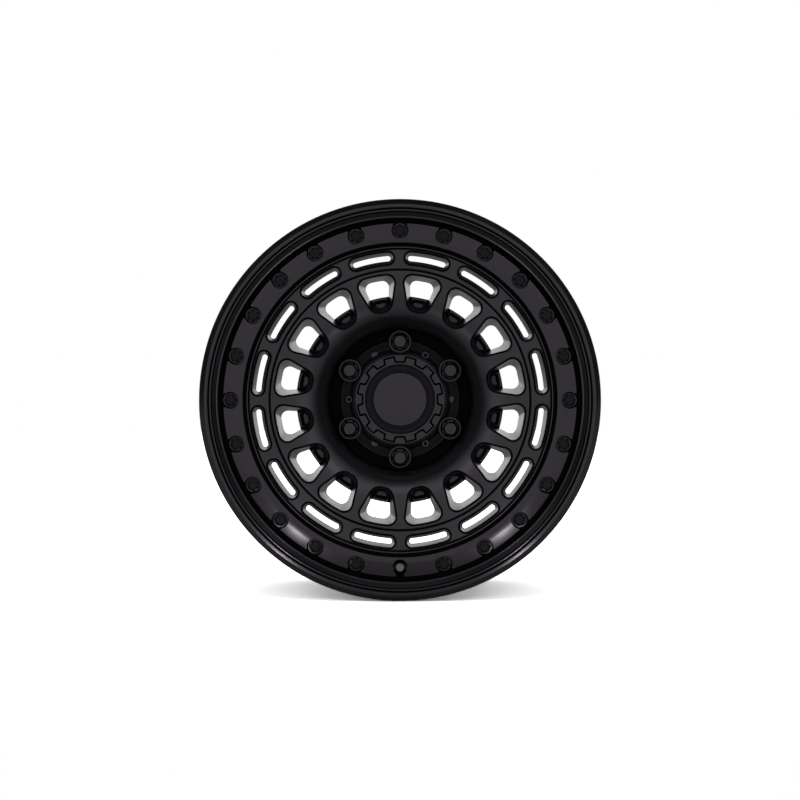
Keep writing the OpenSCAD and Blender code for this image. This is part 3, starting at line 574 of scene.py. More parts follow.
def lip_section():
    """The lip's inner cone, its two crests, its top and steep edge, and the back of the front flange."""
    low, mid, step = LIP_Z - 2 * LIP_STEP_H - 3.8, LIP_Z - 2 * LIP_STEP_H, LIP_Z - LIP_STEP_H
    return (
        [(LIP_IN_R - 0.5, POCKET_Z, 1.0), (LIP_IN_R + 0.5, low - 0.8, 0.4), (LIP_CONE_R - 1.3, low, 0.6),
         (LIP_CONE_R, low - 0.5, 0.2), (LIP_CONE_END_R, mid, 0.4), (LIP_CONE_END_R + 0.2, mid - 1.8, 0.2),
         (LIP_CREST_R - 0.1, mid - 1.8, 0.2), (LIP_CREST_R, step, 0.4), (LIP_CREST_R + LIP_CREST, step, 0.4),
         (LIP_CREST_R + LIP_CREST + 0.2, step - 1.6, 0.2), (LIP_TOP_R - 0.2, step - 1.6, 0.2),
         (LIP_TOP_R, LIP_Z, 0.5), (LIP_R - LIP_CHAMFER_W - 0.8, LIP_Z, 0.5),
         (LIP_R - 0.5, LIP_Z - LIP_CHAMFER_H, 0.8), (LIP_R, LIP_Z - LIP_CHAMFER_H - 1, 0.5)]
        + arc(LIP_R - 2.4, FLANGE_Z + 2.4, 2.4, 0, -90, 5)
        + arc(BEAD_R + HEEL_R, FLANGE_Z - HEEL_R, HEEL_R, 90, 180, 8))


def barrel_section():
    """Tyre side, from the front bead seat to the rear flange."""
    return (
        [(SEAT_END_R, SEAT_Z, 2.0), (SEAT_END_R + HUMP_H, SEAT_Z - HUMP_L / 2, 2.5),
         (SEAT_END_R, SEAT_Z - HUMP_L, 3.0), (DROP_R, DROP_FRONT_Z, 6.0), (DROP_R, DROP_BACK_Z, 6.0),
         (BARREL_R, BARREL_Z, 6.0), (BARREL_R, REAR_SEAT_Z + HUMP_L + 6, 6.0),
         (SEAT_END_R, REAR_SEAT_Z + HUMP_L, 2.5),
         (SEAT_END_R + HUMP_H, REAR_SEAT_Z + HUMP_L / 2, 2.5), (SEAT_END_R, REAR_SEAT_Z, 2.0)]
        + arc(BEAD_R + HEEL_R, REAR_FLANGE_Z + HEEL_R, HEEL_R, 180, 270, 8)
        + arc(LIP_R - 2.4, REAR_FLANGE_Z - 2.4, 2.4, 90, 0, 5)
        + arc(LIP_R - 4, REAR_Z + 4, 4, 0, -90, 6))


def inner_section():
    """Hub side, from the rear flange in over the spokes' backs to the mounting pad and up the pilot bore."""
    return [
        (BARREL_IN_R + 13, REAR_Z, 1.5), (BARREL_IN_R + 9, REAR_Z + 3, 4.0),
        (BARREL_IN_R, REAR_SEAT_Z, 8.0), (BARREL_IN_R, BARREL_Z - 4, 8.0),
        (DROP_IN_R, DROP_BACK_Z - 3, 8.0), (DROP_IN_R, DROP_FRONT_Z - 2, 6.0),
        (DROP_IN_R - 2.5, BAND_BACK_Z - 5, 2.0), (DROP_IN_R - 6.5, BAND_BACK_Z, 3.0),
        (BAND_IN_R + 1.5, BAND_BACK_Z, 2.0), (BOWL_OUT_R - 3, SPOKE_BACK_Z + 4, 3.0),
        (BOWL_OUT_R - 7, SPOKE_BACK_Z, 2.0), (DRUM_R, DRUM_Z + 2, 1.0), (DRUM_R, DRUM_Z - 11, 2.0),
        (DRUM_R - 6, DRUM_Z - 16, 3.0), (BACK_PAD_R + 7, DRUM_Z - 22, 8.0), (BACK_PAD_R + 3, 6, 2.0),
        (BACK_PAD_R, 0, 1.0), (PILOT_R, 0, 1.0), (PILOT_R, PILOT_L, 0.5), (HUB_LAND_R, PILOT_L, 0.8),
        (HUB_LAND_R, CAP_POCKET_Z, 0.8)]


def window_loops():
    def outline_at(z):
        k = (z - DRUM_Z) / (BOWL_Z - DRUM_Z)
        return bent(outline(
            mix(WINDOW_IN_R + 5, WINDOW_IN_R, k), mix(WINDOW_OUT_R - WINDOW_LEAN_OUT, WINDOW_OUT_R, k),
            WINDOW_HALF_IN - WINDOW_LEAN_SIDE * 0.55 * (1 - k), WINDOW_HALF_OUT - WINDOW_LEAN_SIDE * (1 - k),
            WINDOW_CORNER_IN - 4 * (1 - k), WINDOW_CORNER_OUT - 1.5 * (1 - k)), WINDOW_OUT_R - 8)
    return pocket(outline_at, lambda x, y: bowl(math.hypot(x, y)), DRUM_Z, 2.4, WINDOW_FOOT)


def slot_loops():
    arc_half = math.radians(SLOT_HALF) * SLOT_MID_R

    def outline_at(z):
        k = (z - BAND_Z) / BAND_T
        half = arc_half + SLOT_LEAN * k
        fillet = SLOT_CORNER * (1 + (SLOT_LEAN_IN + SLOT_LEAN) / SLOT_W * k)
        return bent(outline(
            SLOT_MID_R - SLOT_W / 2 - SLOT_LEAN_IN * k, SLOT_MID_R + SLOT_W / 2 + SLOT_LEAN * k,
            half, half, fillet, fillet, 5), SLOT_MID_R)
    return pocket(outline_at, lambda x, y: BAND_Z, BAND_BACK_Z - 3, 2.3, 0)


def scoop_loops():
    """A D-shaped hollow in the drum at a window's foot, with its flat side along the drum's edge."""
    high = DRUM_R - SCOOP_RIM

    def outline_at(z):
        draft = (DRUM_Z - z) * 0.4
        return outline(high - SCOOP_R + draft * 0.5, high - draft * 1.9, SCOOP_R * 0.55 - draft,
                       SCOOP_R - draft, 4.6, 2.4)
    return pocket(outline_at, lambda x, y: DRUM_Z, DRUM_Z - SCOOP_DEPTH, 0.6, 0.8, rise=0.6)


def ring_pocket_loops():
    """A bolt pocket on the x axis, round inside and open to the channel outside."""
    half = POCKET_R * 0.8
    turn = math.degrees(math.asin(half / POCKET_R))
    inside = arc(RING_BOLT_R, 0, POCKET_R, turn, 360 - turn, 30)
    end = RING_OUT_R + 2.5
    side = [mix(inside[-1][0], end, k / 3) for k in range(1, 4)]
    loop = inside + [(x, -half) for x in side] + [(x, half) for x in reversed(side)]
    return pocket(lambda z: loop, lambda x, y: ring_top(math.hypot(x, y)), POCKET_Z, 0.6, 0.8)


def lug_hole_section():
    """Pocket, cone seat and stud hole of one lug hole."""
    seat_l = (LUG_POCKET_R - STUD_HOLE_R) / math.tan(math.radians(30))
    top = BOSS_Z + 30
    return ([(0, -2), (STUD_HOLE_R + 2.8, -2), (STUD_HOLE_R, 0.8), (STUD_HOLE_R, STUD_HOLE_L),
             (LUG_POCKET_R, STUD_HOLE_L + seat_l), (LUG_POCKET_R, BOSS_Z - 0.5)]
            + arc(LUG_POCKET_R + 0.5, BOSS_Z - 0.5, 0.5, 180, 100, 4)
            + [(LUG_POCKET_R + 0.4, top), (0, top)])


def boss_section():
    return rounded([(0, 20), (BOSS_R + 0.5, 20), (BOSS_R, BOSS_Z, 0.5), (0, BOSS_Z)])


def panel_cutter():
    """Cutter of the blank panel, which follows the bowl's surface."""
    around, across = 41, 9
    low, high = [], []
    for i in range(around + 1):
        a = math.radians(-90 - PANEL_ANGLE / 2 + PANEL_ANGLE * i / around)
        for j in range(across + 1):
            r = PANEL_IN_R + PANEL_W * j / across
            x, y = r * math.cos(a), r * math.sin(a)
            low.append(wheel_at(x, y, bowl(r) - PANEL_DEPTH))
            high.append(wheel_at(x, y, bowl(r) + 6))
    n, faces = across + 1, []
    top = len(low)
    for i in range(around):
        for j in range(across):
            quad = [i * n + j, i * n + j + 1, (i + 1) * n + j + 1, (i + 1) * n + j]
            faces += [quad, [top + q for q in quad]]
    for i in range(around):
        for j in (0, across):
            faces.append([i * n + j, (i + 1) * n + j, top + (i + 1) * n + j, top + i * n + j])
    for i in (0, around):
        for j in range(across):
            faces.append([i * n + j, i * n + j + 1, top + i * n + j + 1, top + i * n + j])
    return low + high, faces


def casting_paint(r, z):
    """Paint at a place on the casting's section."""
    in_channel = RING_OUT_R - 0.2 < r < LIP_IN_R + 0.6 and POCKET_Z - 1 < z < RING_Z - 1.2
    in_groove = BOWL_OUT_R - 0.3 < r < BAND_IN_R + 0.05 and BAND_Z - GROOVE_DEPTH - 1 < z < BAND_Z - 2.2
    in_step = BAND_OUT_R - 4.3 < r < RING_IN_R + 0.05 and BAND_Z - GROOVE_DEPTH - 1 < z < BAND_Z - 0.8
    in_lip = LIP_CONE_END_R + 0.05 < r < LIP_TOP_R - 0.05 and LIP_Z - 6 < z < LIP_Z - LIP_STEP_H - 0.3
    in_hub = r < BOWL_IN_R + 2 and z > PILOT_L
    # Painted shade: the channel, the grooves, the band's step, the groove in the lip and the hub floor
    if in_channel or in_groove or in_step or in_lip or in_hub:
        return ON_PAINTED_SHADE
    # Lighter painted shade: the lip's inner cone and outer chamfer get the darker cone paint
    in_chamfer = r > LIP_R - LIP_CHAMFER_W - 0.8 and z > LIP_Z - LIP_CHAMFER_H + 0.3
    in_cone = LIP_CONE_R + 0.1 < r < LIP_CONE_END_R + 0.05 and z > FLANGE_Z
    if in_cone or in_chamfer:
        return ON_CONE_SHADE
    if r > BAND_OUT_R + 0.3 and POCKET_Z - 1 < z:
        return ON_RING
    return ON_BARREL if r > BAND_OUT_R else ON_FACE


def build_casting():
    paints = [SATIN, GLOSS, BARREL, PAINTED_SHADE, CONE_SHADE]
    section = rounded(face_section() + lip_section() + barrel_section() + inner_section())
    verts, faces = revolved(section, RIM_SEGMENTS)
    paint_of = []
    for i, (r, z) in enumerate(section):
        r2, z2 = section[(i + 1) % len(section)]
        paint_of += [casting_paint((r + r2) / 2, (z + z2) / 2)] * RIM_SEGMENTS
    casting = mesh_object("casting", verts, faces, paints, paint_of)
    bosses = joined([revolved(boss_section(), 64, spot_at(90 + 60 * i, LUG_CIRCLE_R)) for i in range(LUGS)])
    carve(casting, mesh_object("bosses", *bosses, paints), "UNION")

    def cut(name, parts, index=ON_FACE, rows=None):
        """Carves the parts. rows holds the paint of each row of sides, where they differ."""
        verts, faces = joined(parts)
        paint_of = [index] * len(faces)
        if rows:
            around = (len(parts[0][1]) - 2) // len(rows)
            paint_of = ([row for row in rows for i in range(around)] + [index, index]) * len(parts)
        carve(casting, mesh_object(name, verts, faces, paints, paint_of))

    window, slot, scoop, ring_pocket = window_loops(), slot_loops(), scoop_loops(), ring_pocket_loops()
    middles = [HALF_TURN + SPOKE_TURN + 360 * i / SPOKES for i in range(SPOKES)]
    # The mouths of windows and slots, and the windows' rounded feet, are painted shade, as dark outlines
    mouth_rows = [ON_PAINTED_SHADE] * (EDGE_STEPS + 1)
    window_rows = [ON_PAINTED_SHADE] * EDGE_STEPS + [ON_FACE] * (len(window) - 2 * (EDGE_STEPS + 1)) + mouth_rows
    slot_rows = [ON_FACE] * (len(slot) - EDGE_STEPS - 2) + mouth_rows
    cut("windows", [stacked(turned(window, angle)) for angle in middles], rows=window_rows)
    cut("slots", [stacked(turned(slot, angle)) for angle in middles], rows=slot_rows)
    cut("lug_holes",
        [revolved(lug_hole_section(), 64, spot_at(90 + 60 * i, LUG_CIRCLE_R)) for i in range(LUGS)])
    # The bolt pockets are painted shade inside
    cut("ring_pockets",
        [stacked(turned(ring_pocket, -90 + 360 * i / RING_PLACES)) for i in range(1, RING_PLACES)], ON_PAINTED_SHADE)
    holes = [revolved([(0, POCKET_Z - BOLT_L - 1), (BOLT_R + 0.1, POCKET_Z - BOLT_L - 1),
                       (BOLT_R + 0.1, POCKET_Z + 3), (0, POCKET_Z + 3)], 24,
                      spot_at(-90 + 360 * i / RING_PLACES, RING_BOLT_R)) for i in range(1, RING_PLACES)]
    holes += [revolved([(0, HUB_T - SCREW_L), (SCREW_R + 0.1, HUB_T - SCREW_L), (SCREW_R + 0.1, HUB_T + 3),
                        (0, HUB_T + 3)], 24, spot_at(60 + 120 * i, SCREW_CIRCLE_R)) for i in range(3)]
    cut("threaded_holes", holes)
    cut("scoops", [stacked(turned(scoop, angle)) for angle in middles])
    cut("panel", [panel_cutter()])

    bore = [(0, VALVE_WALL), (VALVE_BORE_R, VALVE_WALL), (VALVE_BORE_R, VALVE_WALL + VALVE_L + 20),
            (0, VALVE_WALL + VALVE_L + 20)]
    hole = [(0, -1), (VALVE_HOLE_R, -1), (VALVE_HOLE_R, VALVE_WALL + 1), (0, VALVE_WALL + 1)]
    spot = [(0, -12), (VALVE_SPOT_R, -12), (VALVE_SPOT_R, 0), (0, 0)]
    for name, section in (("valve_bore", bore), ("valve_spot", spot), ("valve_hole", hole)):
        cut(name, [revolved(section, 64, valve_at)], ON_RING)
    # The valve's way through the ring is painted shade inside
    way = [[(-4.7, -RING_OUT_R - 2, z), (4.7, -RING_OUT_R - 2, z), (4.7, -RING_BOLT_R + 2.6, z),
            (-4.7, -RING_BOLT_R + 2.6, z)] for z in (POCKET_Z, RING_Z + 1)]
    cut("valve_way", [stacked(way)], ON_PAINTED_SHADE)
    polish(casting)
    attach(casting, "wheel")
    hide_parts("wheel_casting")


# Fasteners

def hex_r(turn, across):
    """Radius of a hexagon at an angle, corners on multiples of 60 degrees."""
    a = (turn + 30) % 60 - 30
    return across / 2 / math.cos(math.radians(30 - abs(a)))


def polar(heights, radius_at, points):
    """Loops about the local z axis, from heights and a radius function of angle and step."""
    loops = []
    for i, z in enumerate(heights):
        loop = []
        for j in range(points):
            t = 360 * j / points
            r = radius_at(t, i)
            loop.append((r * math.cos(math.radians(t)), r * math.sin(math.radians(t)), z))
        loops.append(loop)
    return loops


BOLT_POINTS = 72
BOLT_HEAD_ROW = 10


def bolt_loops():
    """One flange bolt standing on its flange, as loops from the shank's end to the top of the head."""
    half = BOLT_AF / 2
    top = BOLT_HEAD_H
    rows = [(-BOLT_L, BOLT_R - 0.7, None), (-BOLT_L + 0.7, BOLT_R, None), (0, BOLT_R, None),
            (0, BOLT_FLANGE_R - 0.4, None), (0.4, BOLT_FLANGE_R, None), (1.1, BOLT_FLANGE_R, None),
            (1.35, BOLT_FLANGE_R - 0.2, None), (1.45, BOLT_FLANGE_R - 1.3, None),
            (1.8, BOLT_FLANGE_R - 1.6, None), (2.4, half + 0.75, None)]
    for k in (2.5, 2.8, 4.6):
        rows.append((k, half + 2, BOLT_AF))
    for k in range(8):
        z = mix(top - 2.1, top - 0.15, k / 7)
        rows.append((z, half + 0.93 - 2.2 * max(0.0, (z - top + 2.1) / 1.95) ** 1.3, BOLT_AF))
    rows += [(top, half - 1.5, None), (top, half - 2.4, None), (top - 0.25, half - 2.8, None),
             (top - 0.25, 0.6, None)]

    def radius(turn, i):
        z, limit, across = rows[i]
        return limit if across is None else min(limit, hex_r(turn, across))
    return polar([row[0] for row in rows], radius, BOLT_POINTS)


def build_bolts():
    loops = bolt_loops()
    parts = []
    for i in range(1, RING_PLACES):
        at = spot_at(-90 + 360 * i / RING_PLACES, RING_BOLT_R)
        parts.append(stacked(loops, lambda x, y, z, at=at: at(x, y, z + POCKET_Z + SEAT_GAP)))
    sides = range(len(parts[0][1]))
    paint_of = [1 if i // BOLT_POINTS >= BOLT_HEAD_ROW else 0 for i in sides] * len(parts)
    bolts = mesh_object("flange_bolts", *joined(parts), [BOLT, BORDER], paint_of)
    polish(bolts, 32)
    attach(bolts, "wheel")
    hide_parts("ring_bolts")


def nut_loops():
    """One closed nut standing on its cone, with grooves down its side and a blind thread."""
    foot_r = STUD_HOLE_R + 0.5
    cone_l = (NUT_R - foot_r) / math.tan(math.radians(30))
    groove_z = cone_l + 9
    section = [(NUT_L - 11, 0.4), (NUT_L - 11, NUT_THREAD_R), (0.8, NUT_THREAD_R), (0, NUT_THREAD_R + 0.6),
               (0, foot_r - 0.2), (0.2, foot_r), (cone_l - 0.2, NUT_R - 0.1), (cone_l + 0.3, NUT_R),
               (groove_z - 0.01, NUT_R), (groove_z, NUT_R), (groove_z + 1.6, NUT_R), (NUT_L - 5.6, NUT_R)]
    for k in range(1, 7):
        section.append((NUT_L - 5.6 + 0.9 * k / 6, NUT_R - 1.1 * (k / 6) ** 2))
    for k in range(1, 6):
        section.append((mix(NUT_L - 4.7, NUT_L - 0.5, k / 5), mix(NUT_R - 1.1, NUT_END_R + 0.35, k / 5)))
    section += [(NUT_L - 0.15, NUT_END_R + 0.2), (NUT_L, NUT_END_R - 0.1), (NUT_L, NUT_END_R - 0.6),
                (NUT_L, NUT_END_R * 0.5), (NUT_L, 0.3)]

    def radius(turn, i):
        z, r = section[i]
        if z < groove_z or r < NUT_R - 4.5:
            return r
        a = math.radians((turn + 360 / NUT_GROOVES / 2 + 30) % (360 / NUT_GROOVES) - 180 / NUT_GROOVES)
        depth = NUT_GROOVE_R * min(1.0, (z - groove_z) / 1.6)
        inside = depth ** 2 - (NUT_R * math.sin(a)) ** 2
        if inside <= 0:
            return r
        return min(r, NUT_R * math.cos(a) - math.sqrt(inside))
    return polar([p[0] for p in section], radius, 120)


def build_nuts():
    loops = nut_loops()
    foot_z = STUD_HOLE_L + 0.5 / math.tan(math.radians(30)) + SEAT_GAP
    parts = []
    for i in range(LUGS):
        at = spot_at(90 + 360 * i / LUGS, LUG_CIRCLE_R)
        parts.append(stacked(loops, lambda x, y, z, at=at: at(x, y, z + foot_z)))
    nuts = mesh_object("spline_nuts", *joined(parts), [NUT])
    polish(nuts, 40)
    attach(nuts, "wheel")
    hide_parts("lug_nuts")


# Centre cap

def tooth_r(turn, gap, root_r):
    """Inner radius of the toothed collar at an angle, the teeth grown by a gap."""
    a = abs(math.radians((turn + 180 / TEETH) % (360 / TEETH) - 180 / TEETH))
    tip_half, root_half = TOOTH_W_IN / 2 + gap, TOOTH_W_OUT / 2 + gap
    tip_x, root_x = TOOTH_IN_R - gap, COLLAR_IN_R + 1.5
    if a <= math.atan2(tip_half, tip_x):
        return tip_x / math.cos(a)
    if a >= math.atan2(root_half, root_x):
        return root_r
    slope = (root_half - tip_half) / (root_x - tip_x)
    return min(root_r, (tip_x * slope - tip_half) / (math.cos(a) * slope - math.sin(a)))


def tooth_turns(gap):
    """Angles that follow the corners of every tooth closely."""
    tip_x, root_x = TOOTH_IN_R - gap, COLLAR_IN_R
    tip = math.degrees(math.atan2(TOOTH_W_IN / 2 + gap, tip_x))
    k = (root_x - tip_x) / (COLLAR_IN_R + 1.5 - tip_x)
    root = math.degrees(math.atan2(mix(TOOTH_W_IN, TOOTH_W_OUT, k) / 2 + gap, root_x))
    half = 180 / TEETH
    one_side = [0, tip * 0.4, tip * 0.8, tip * 0.96, tip, mix(tip, root, 0.06), mix(tip, root, 0.35),
                mix(tip, root, 0.7), mix(tip, root, 0.95), root, mix(root, half, 0.08),
                mix(root, half, 0.4), mix(root, half, 0.7), half]
    both = [-t for t in reversed(one_side[1:-1])] + one_side
    return [t + 360 / TEETH * i for i in range(TEETH) for t in both]


def shaped(rows, turns):
    """Loops from rows of (z, radius function of angle)."""
    return [[(f(t) * math.cos(math.radians(t)), f(t) * math.sin(math.radians(t)), z) for t in turns]
            for z, f in rows]


def scallop_r(turn, limit, gap=0.4):
    """The plate's outer radius, cut back round the lug bosses."""
    a = math.radians((turn - 90 + 180 / LUGS) % (360 / LUGS) - 180 / LUGS)
    s = BOSS_R + gap
    inside = s ** 2 - (LUG_CIRCLE_R * math.sin(a)) ** 2
    if inside <= 0:
        return limit
    return min(limit, LUG_CIRCLE_R * math.cos(a) - math.sqrt(inside))


def plain(r):
    return lambda turn: r


def dome_section(r, h, low=0.0):
    """A low dome with a rounded shoulder."""
    crown = 1.2
    rise = [(r * math.cos(math.radians(a)), h - crown + crown * math.sin(math.radians(a)))
            for a in (8, 20, 34, 48, 62, 76)]
    return [(0, low), (r, low), (r, h - crown - 0.1)] + rise + [(0, h)]


def build_cap_base():
    spigot_r = CAP_POCKET_R - SLIDE_GAP
    turns = sorted(set(round(t % 360, 4) for t in tooth_turns(0) + [i * 0.75 for i in range(480)]))

    def teeth(inset=0.0, root=COLLAR_IN_R):
        return lambda t: tooth_r(t, -inset, root + inset)

    def edge(limit, gap=0.4):
        return lambda t: scallop_r(t, limit, gap)
    rows = [
        (FLOOR_Z, plain(FLOOR_HOLE_R)), (FLOOR_Z, plain(spigot_r - 0.4)), (FLOOR_Z + 0.4, plain(spigot_r)),
        (PLATE_Z, plain(spigot_r)), (PLATE_Z, edge(PLATE_R - 0.3)), (PLATE_Z + 0.3, edge(PLATE_R)),
        (PLATE_TOP - 0.5, edge(PLATE_R)), (PLATE_TOP - 0.15, edge(PLATE_R - 0.15, 0.55)),
        (PLATE_TOP, edge(PLATE_R - 0.5, 0.9)),
        (PLATE_TOP, edge(COLLAR_R + COLLAR_FOOT + 0.4, 1.1))]
    for k in range(9):
        out = 1 - k / 9
        rows.append((PLATE_TOP + 0.2 + (COLLAR_H - 0.8) * (1 - out ** 1.35),
                     edge(COLLAR_R + 0.6 + (COLLAR_FOOT - 0.6) * out, 1.2)))
    rows += [
        (COLLAR_TOP - 0.4, plain(COLLAR_R + 0.45)), (COLLAR_TOP - 0.12, plain(COLLAR_R + 0.2)),
        (COLLAR_TOP, plain(COLLAR_R - 0.3)), (COLLAR_TOP, teeth(0.3)), (COLLAR_TOP - 0.1, teeth(0.12)),
        (COLLAR_TOP - 0.4, teeth()), (FLOOR_TOP, teeth()), (FLOOR_TOP, plain(FLOOR_HOLE_R))]
    verts, faces = stacked(shaped(rows, turns), ring=True)
    n = len(turns)
    paints = [PLATE_SHADE, CAP, PAINTED_SHADE]
    on_plate_shade, on_cap, on_painted_shade = range(3)
    # Painted shade inside the collar, on the teeth's inner walls and the pocket floor; the plate's flat top
    # takes the duller plate paint
    row_paint = ([on_plate_shade] * 6 + [on_cap] * 2 + [on_plate_shade] + [on_cap] * (len(rows) - 12)
                 + [on_painted_shade] * 2 + [on_plate_shade])
    paint_of = [row_paint[min(i // n, len(row_paint) - 1)] for i in range(len(faces))]
    base = mesh_object("plate_and_collar", verts, faces, paints, paint_of)
    domes = joined([revolved(dome_section(4.5, PLATE_TOP + 2.2, PLATE_TOP - 1), 40,
                             spot_at(120 * i, SCREW_CIRCLE_R)) for i in range(3)])
    carve(base, mesh_object("blind_domes", *domes, paints, [on_cap] * len(domes[1])), "UNION")
    bores = []
    for i in range(3):
        at = spot_at(60 + 120 * i, SCREW_CIRCLE_R)
        head, shank = SCREW_HEAD_R + 0.4, SCREW_R + 0.2
        bores.append(revolved([(0, FLOOR_Z - 2), (shank, FLOOR_Z - 2), (shank, PLATE_TOP), (head, PLATE_TOP),
                               (head, COLLAR_TOP + 2), (0, COLLAR_TOP + 2)], 40, at))
    carve(base, mesh_object("screw_bores", *joined(bores), paints))
    polish(base, 35)
    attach(base, "wheel")
    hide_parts("cap_base")


def build_cap_ring():
    bore_r = CAP_R + SLIDE_GAP
    step_z = FLOOR_TOP + 4
    low = FLOOR_TOP + SEAT_GAP
    turns = [t % 360 for t in tooth_turns(TOOTH_GAP)]

    def lobes(inset=0.0):
        return lambda t: tooth_r(t, TOOTH_GAP + inset, COLLAR_IN_R - TOOTH_GAP - inset)
    rows = [
        (low, plain(bore_r - 4)), (low, lobes()), (COLLAR_TOP - 0.5, lobes()),
        (COLLAR_TOP - 0.15, lobes(0.12)), (COLLAR_TOP, lobes(0.45)), (COLLAR_TOP, plain(bore_r + 1.9)),
        (COLLAR_TOP - 0.12, plain(bore_r + 1.55)), (COLLAR_TOP - 1.2, plain(bore_r + 0.2)),
        (COLLAR_TOP - 1.6, plain(bore_r)), (step_z, plain(bore_r)), (step_z, plain(bore_r - 4))]
    verts, faces = stacked(shaped(rows, turns), ring=True)
    side = len(turns)
    # The lobes' sides, down in the gap by the collar's teeth, are painted shade
    paint_of = [1 if i // side == 1 else 0 for i in range(len(faces))]
    ring = mesh_object("lobed_ring", verts, faces, [CAP, PAINTED_SHADE], paint_of)
    polish(ring, 35)
    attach(ring, "wheel")
    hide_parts("cap_ring")


def build_cap_disc():
    step_z = FLOOR_TOP + 4 + SEAT_GAP
    border_z = step_z + 2.2
    mid_top = border_z + 3.2
    ridge_r = (CAP_R + CAP_MID_R) / 2 - 1.2
    leg_r = FLOOR_HOLE_R - 0.4
    section = rounded([
        (0, border_z - 1.4), (0, mid_top + 0.6), (CAP_MID_R * 0.5, mid_top + 0.45),
        (CAP_MID_R - 1, mid_top, 1.2), (CAP_MID_R, mid_top - 0.8, 0.8), (CAP_MID_R + 0.3, border_z, 0.4),
        (ridge_r - 0.6, border_z, 0.3), (ridge_r, border_z + 0.6, 0.4), (ridge_r + 0.6, border_z, 0.3),
        (CAP_R - 0.3, border_z, 0.2), (CAP_R, border_z - 0.3), (CAP_R, step_z), (CAP_R - 5, step_z),
        (CAP_R - 6, border_z - 1.4)])
    verts, faces = revolved(section, 180)
    paint_of = []
    for i in range(len(section)):
        r = (section[i][0] + section[(i + 1) % len(section)][0]) / 2
        z = (section[i][1] + section[(i + 1) % len(section)][1]) / 2
        on_axis = section[i][0] < 1e-6 and section[(i + 1) % len(section)][0] < 1e-6
        dark = r > CAP_MID_R - 0.2 and z > step_z + 0.5
        paint_of += [] if on_axis else [1 if dark else 0] * 180
    disc = mesh_object("cap_face", verts, faces, [CAP, BORDER], paint_of)
    legs = []
    for i in range(SNAP_LEGS):
        half = 6.0 / leg_r
        side = [(leg_r - 2.2, FLOOR_Z - 3.4), (leg_r - 0.4, FLOOR_Z - 3.4),
                (leg_r + 1.8, FLOOR_Z - SLIDE_GAP), (leg_r, FLOOR_Z - SLIDE_GAP),
                (leg_r, border_z - 1), (leg_r - 2.2, border_z - 1)]
        loops = []
        for k in range(9):
            a = math.radians(30 + 360 * i / SNAP_LEGS) + mix(-half, half, k / 8)
            loops.append([(r * math.cos(a), r * math.sin(a), z) for r, z in side])
        legs.append(stacked(loops))
    carve(disc, mesh_object("snap_legs", *joined(legs), [CAP, BORDER]), "UNION")
    polish(disc, 35)
    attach(disc, "wheel")
    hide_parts("cap_disc")


def build_cap_screws():
    socket_af, socket_depth, head_h = 4.0, 2.0, 2.8
    low = PLATE_TOP + SEAT_GAP
    top = low + head_h
    rows = [(PLATE_TOP - SCREW_L + PLATE_T, SCREW_R - 0.4), (PLATE_TOP - SCREW_L + PLATE_T + 0.4, SCREW_R),
            (low, SCREW_R), (low, SCREW_HEAD_R), (top - 1.35, SCREW_HEAD_R)]
    for a in (6, 16, 28, 40, 52):
        a = math.radians(a)
        rows.append((top - 1.3 + 1.3 * math.sin(a) ** 0.8, SCREW_HEAD_R * math.cos(a)))
    rim = len(rows)
    rows += [(top - 0.05, 2.75), (top - 0.2, 2.42), (top - socket_depth, 2.4),
             (top - socket_depth - 0.3, 0.2)]

    def radius(turn, i):
        if rim < i < len(rows) - 1:
            return min(rows[i][1], hex_r(turn, socket_af + (0.25 if i == rim + 1 else 0)))
        return rows[i][1]
    around = 60
    loops = polar([row[0] for row in rows], radius, around)
    parts = [stacked(loops, spot_at(60 + 120 * i, SCREW_CIRCLE_R)) for i in range(3)]
    # The hex sockets are painted shade
    paint_of = [1 if i // around > rim else 0 for i in range(len(parts[0][1]))] * 3
    screws = mesh_object("socket_screws", *joined(parts), [CAP, PAINTED_SHADE], paint_of)
    polish(screws, 40)
    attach(screws, "wheel")
    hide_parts("cap_screws")


# Tyre valve

def build_valve_cap():
    low = THREAD_START + 0.3
    top = low + VALVE_CAP_L
    inner = VALVE_THREAD_R + 0.08
    ceiling = TUBE_END + 1.2 + 2 * SEAT_GAP
    rows = [(ceiling, 0.3, 0), (ceiling, inner, 0), (low + 0.4, inner, 0), (low, inner + 0.35, 0),
            (low, VALVE_CAP_R - 0.35, 0), (low + 0.3, VALVE_CAP_R, 1), (top - 2.6, VALVE_CAP_R, 1),
            (top - 1.9, VALVE_CAP_R, 0)]
    for a in (10, 25, 40, 55, 70, 85):
        rows.append((top - 1.4 + 1.4 * math.sin(math.radians(a)),
                     VALVE_CAP_R - 1.4 + 1.4 * math.cos(math.radians(a)), 0))
    rows += [(top, VALVE_CAP_R - 2.2, 0), (top, 0.3, 0)]

    def radius(turn, i):
        z, r, fluted = rows[i]
        if not fluted:
            return r
        a = math.radians((turn + 15) % 30 - 15)
        inside = 0.6 ** 2 - ((VALVE_CAP_R + 0.35) * math.sin(a)) ** 2
        return r if inside <= 0 else min(r, (VALVE_CAP_R + 0.35) * math.cos(a) - math.sqrt(inside))
    verts, faces = stacked(polar([row[0] for row in rows], radius, 192), valve_at)
    cap = mesh_object("fluted_valve_cap", verts, faces, [VALVE_GREY])
    polish(cap, 35)
    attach(cap, "valve_cap")
    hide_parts("valve_cap")


def dress_nodes():
    """Finishes for the solids that keep their own shape."""
    finish_of = {"valve_rubber": RUBBER, "core_cup": RUBBER, "valve_cap_seal": RUBBER, "valve_tube": BRASS,
                 "core_body": BRASS, "core_pin": BRASS, "core_spring": STEEL}
    for name, finish in finish_of.items():
        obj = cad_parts[name]
        if not obj.material_slots:
            obj.data.materials.append(finish)
        for material_slot in obj.material_slots:
            material_slot.material = finish


# Surroundings

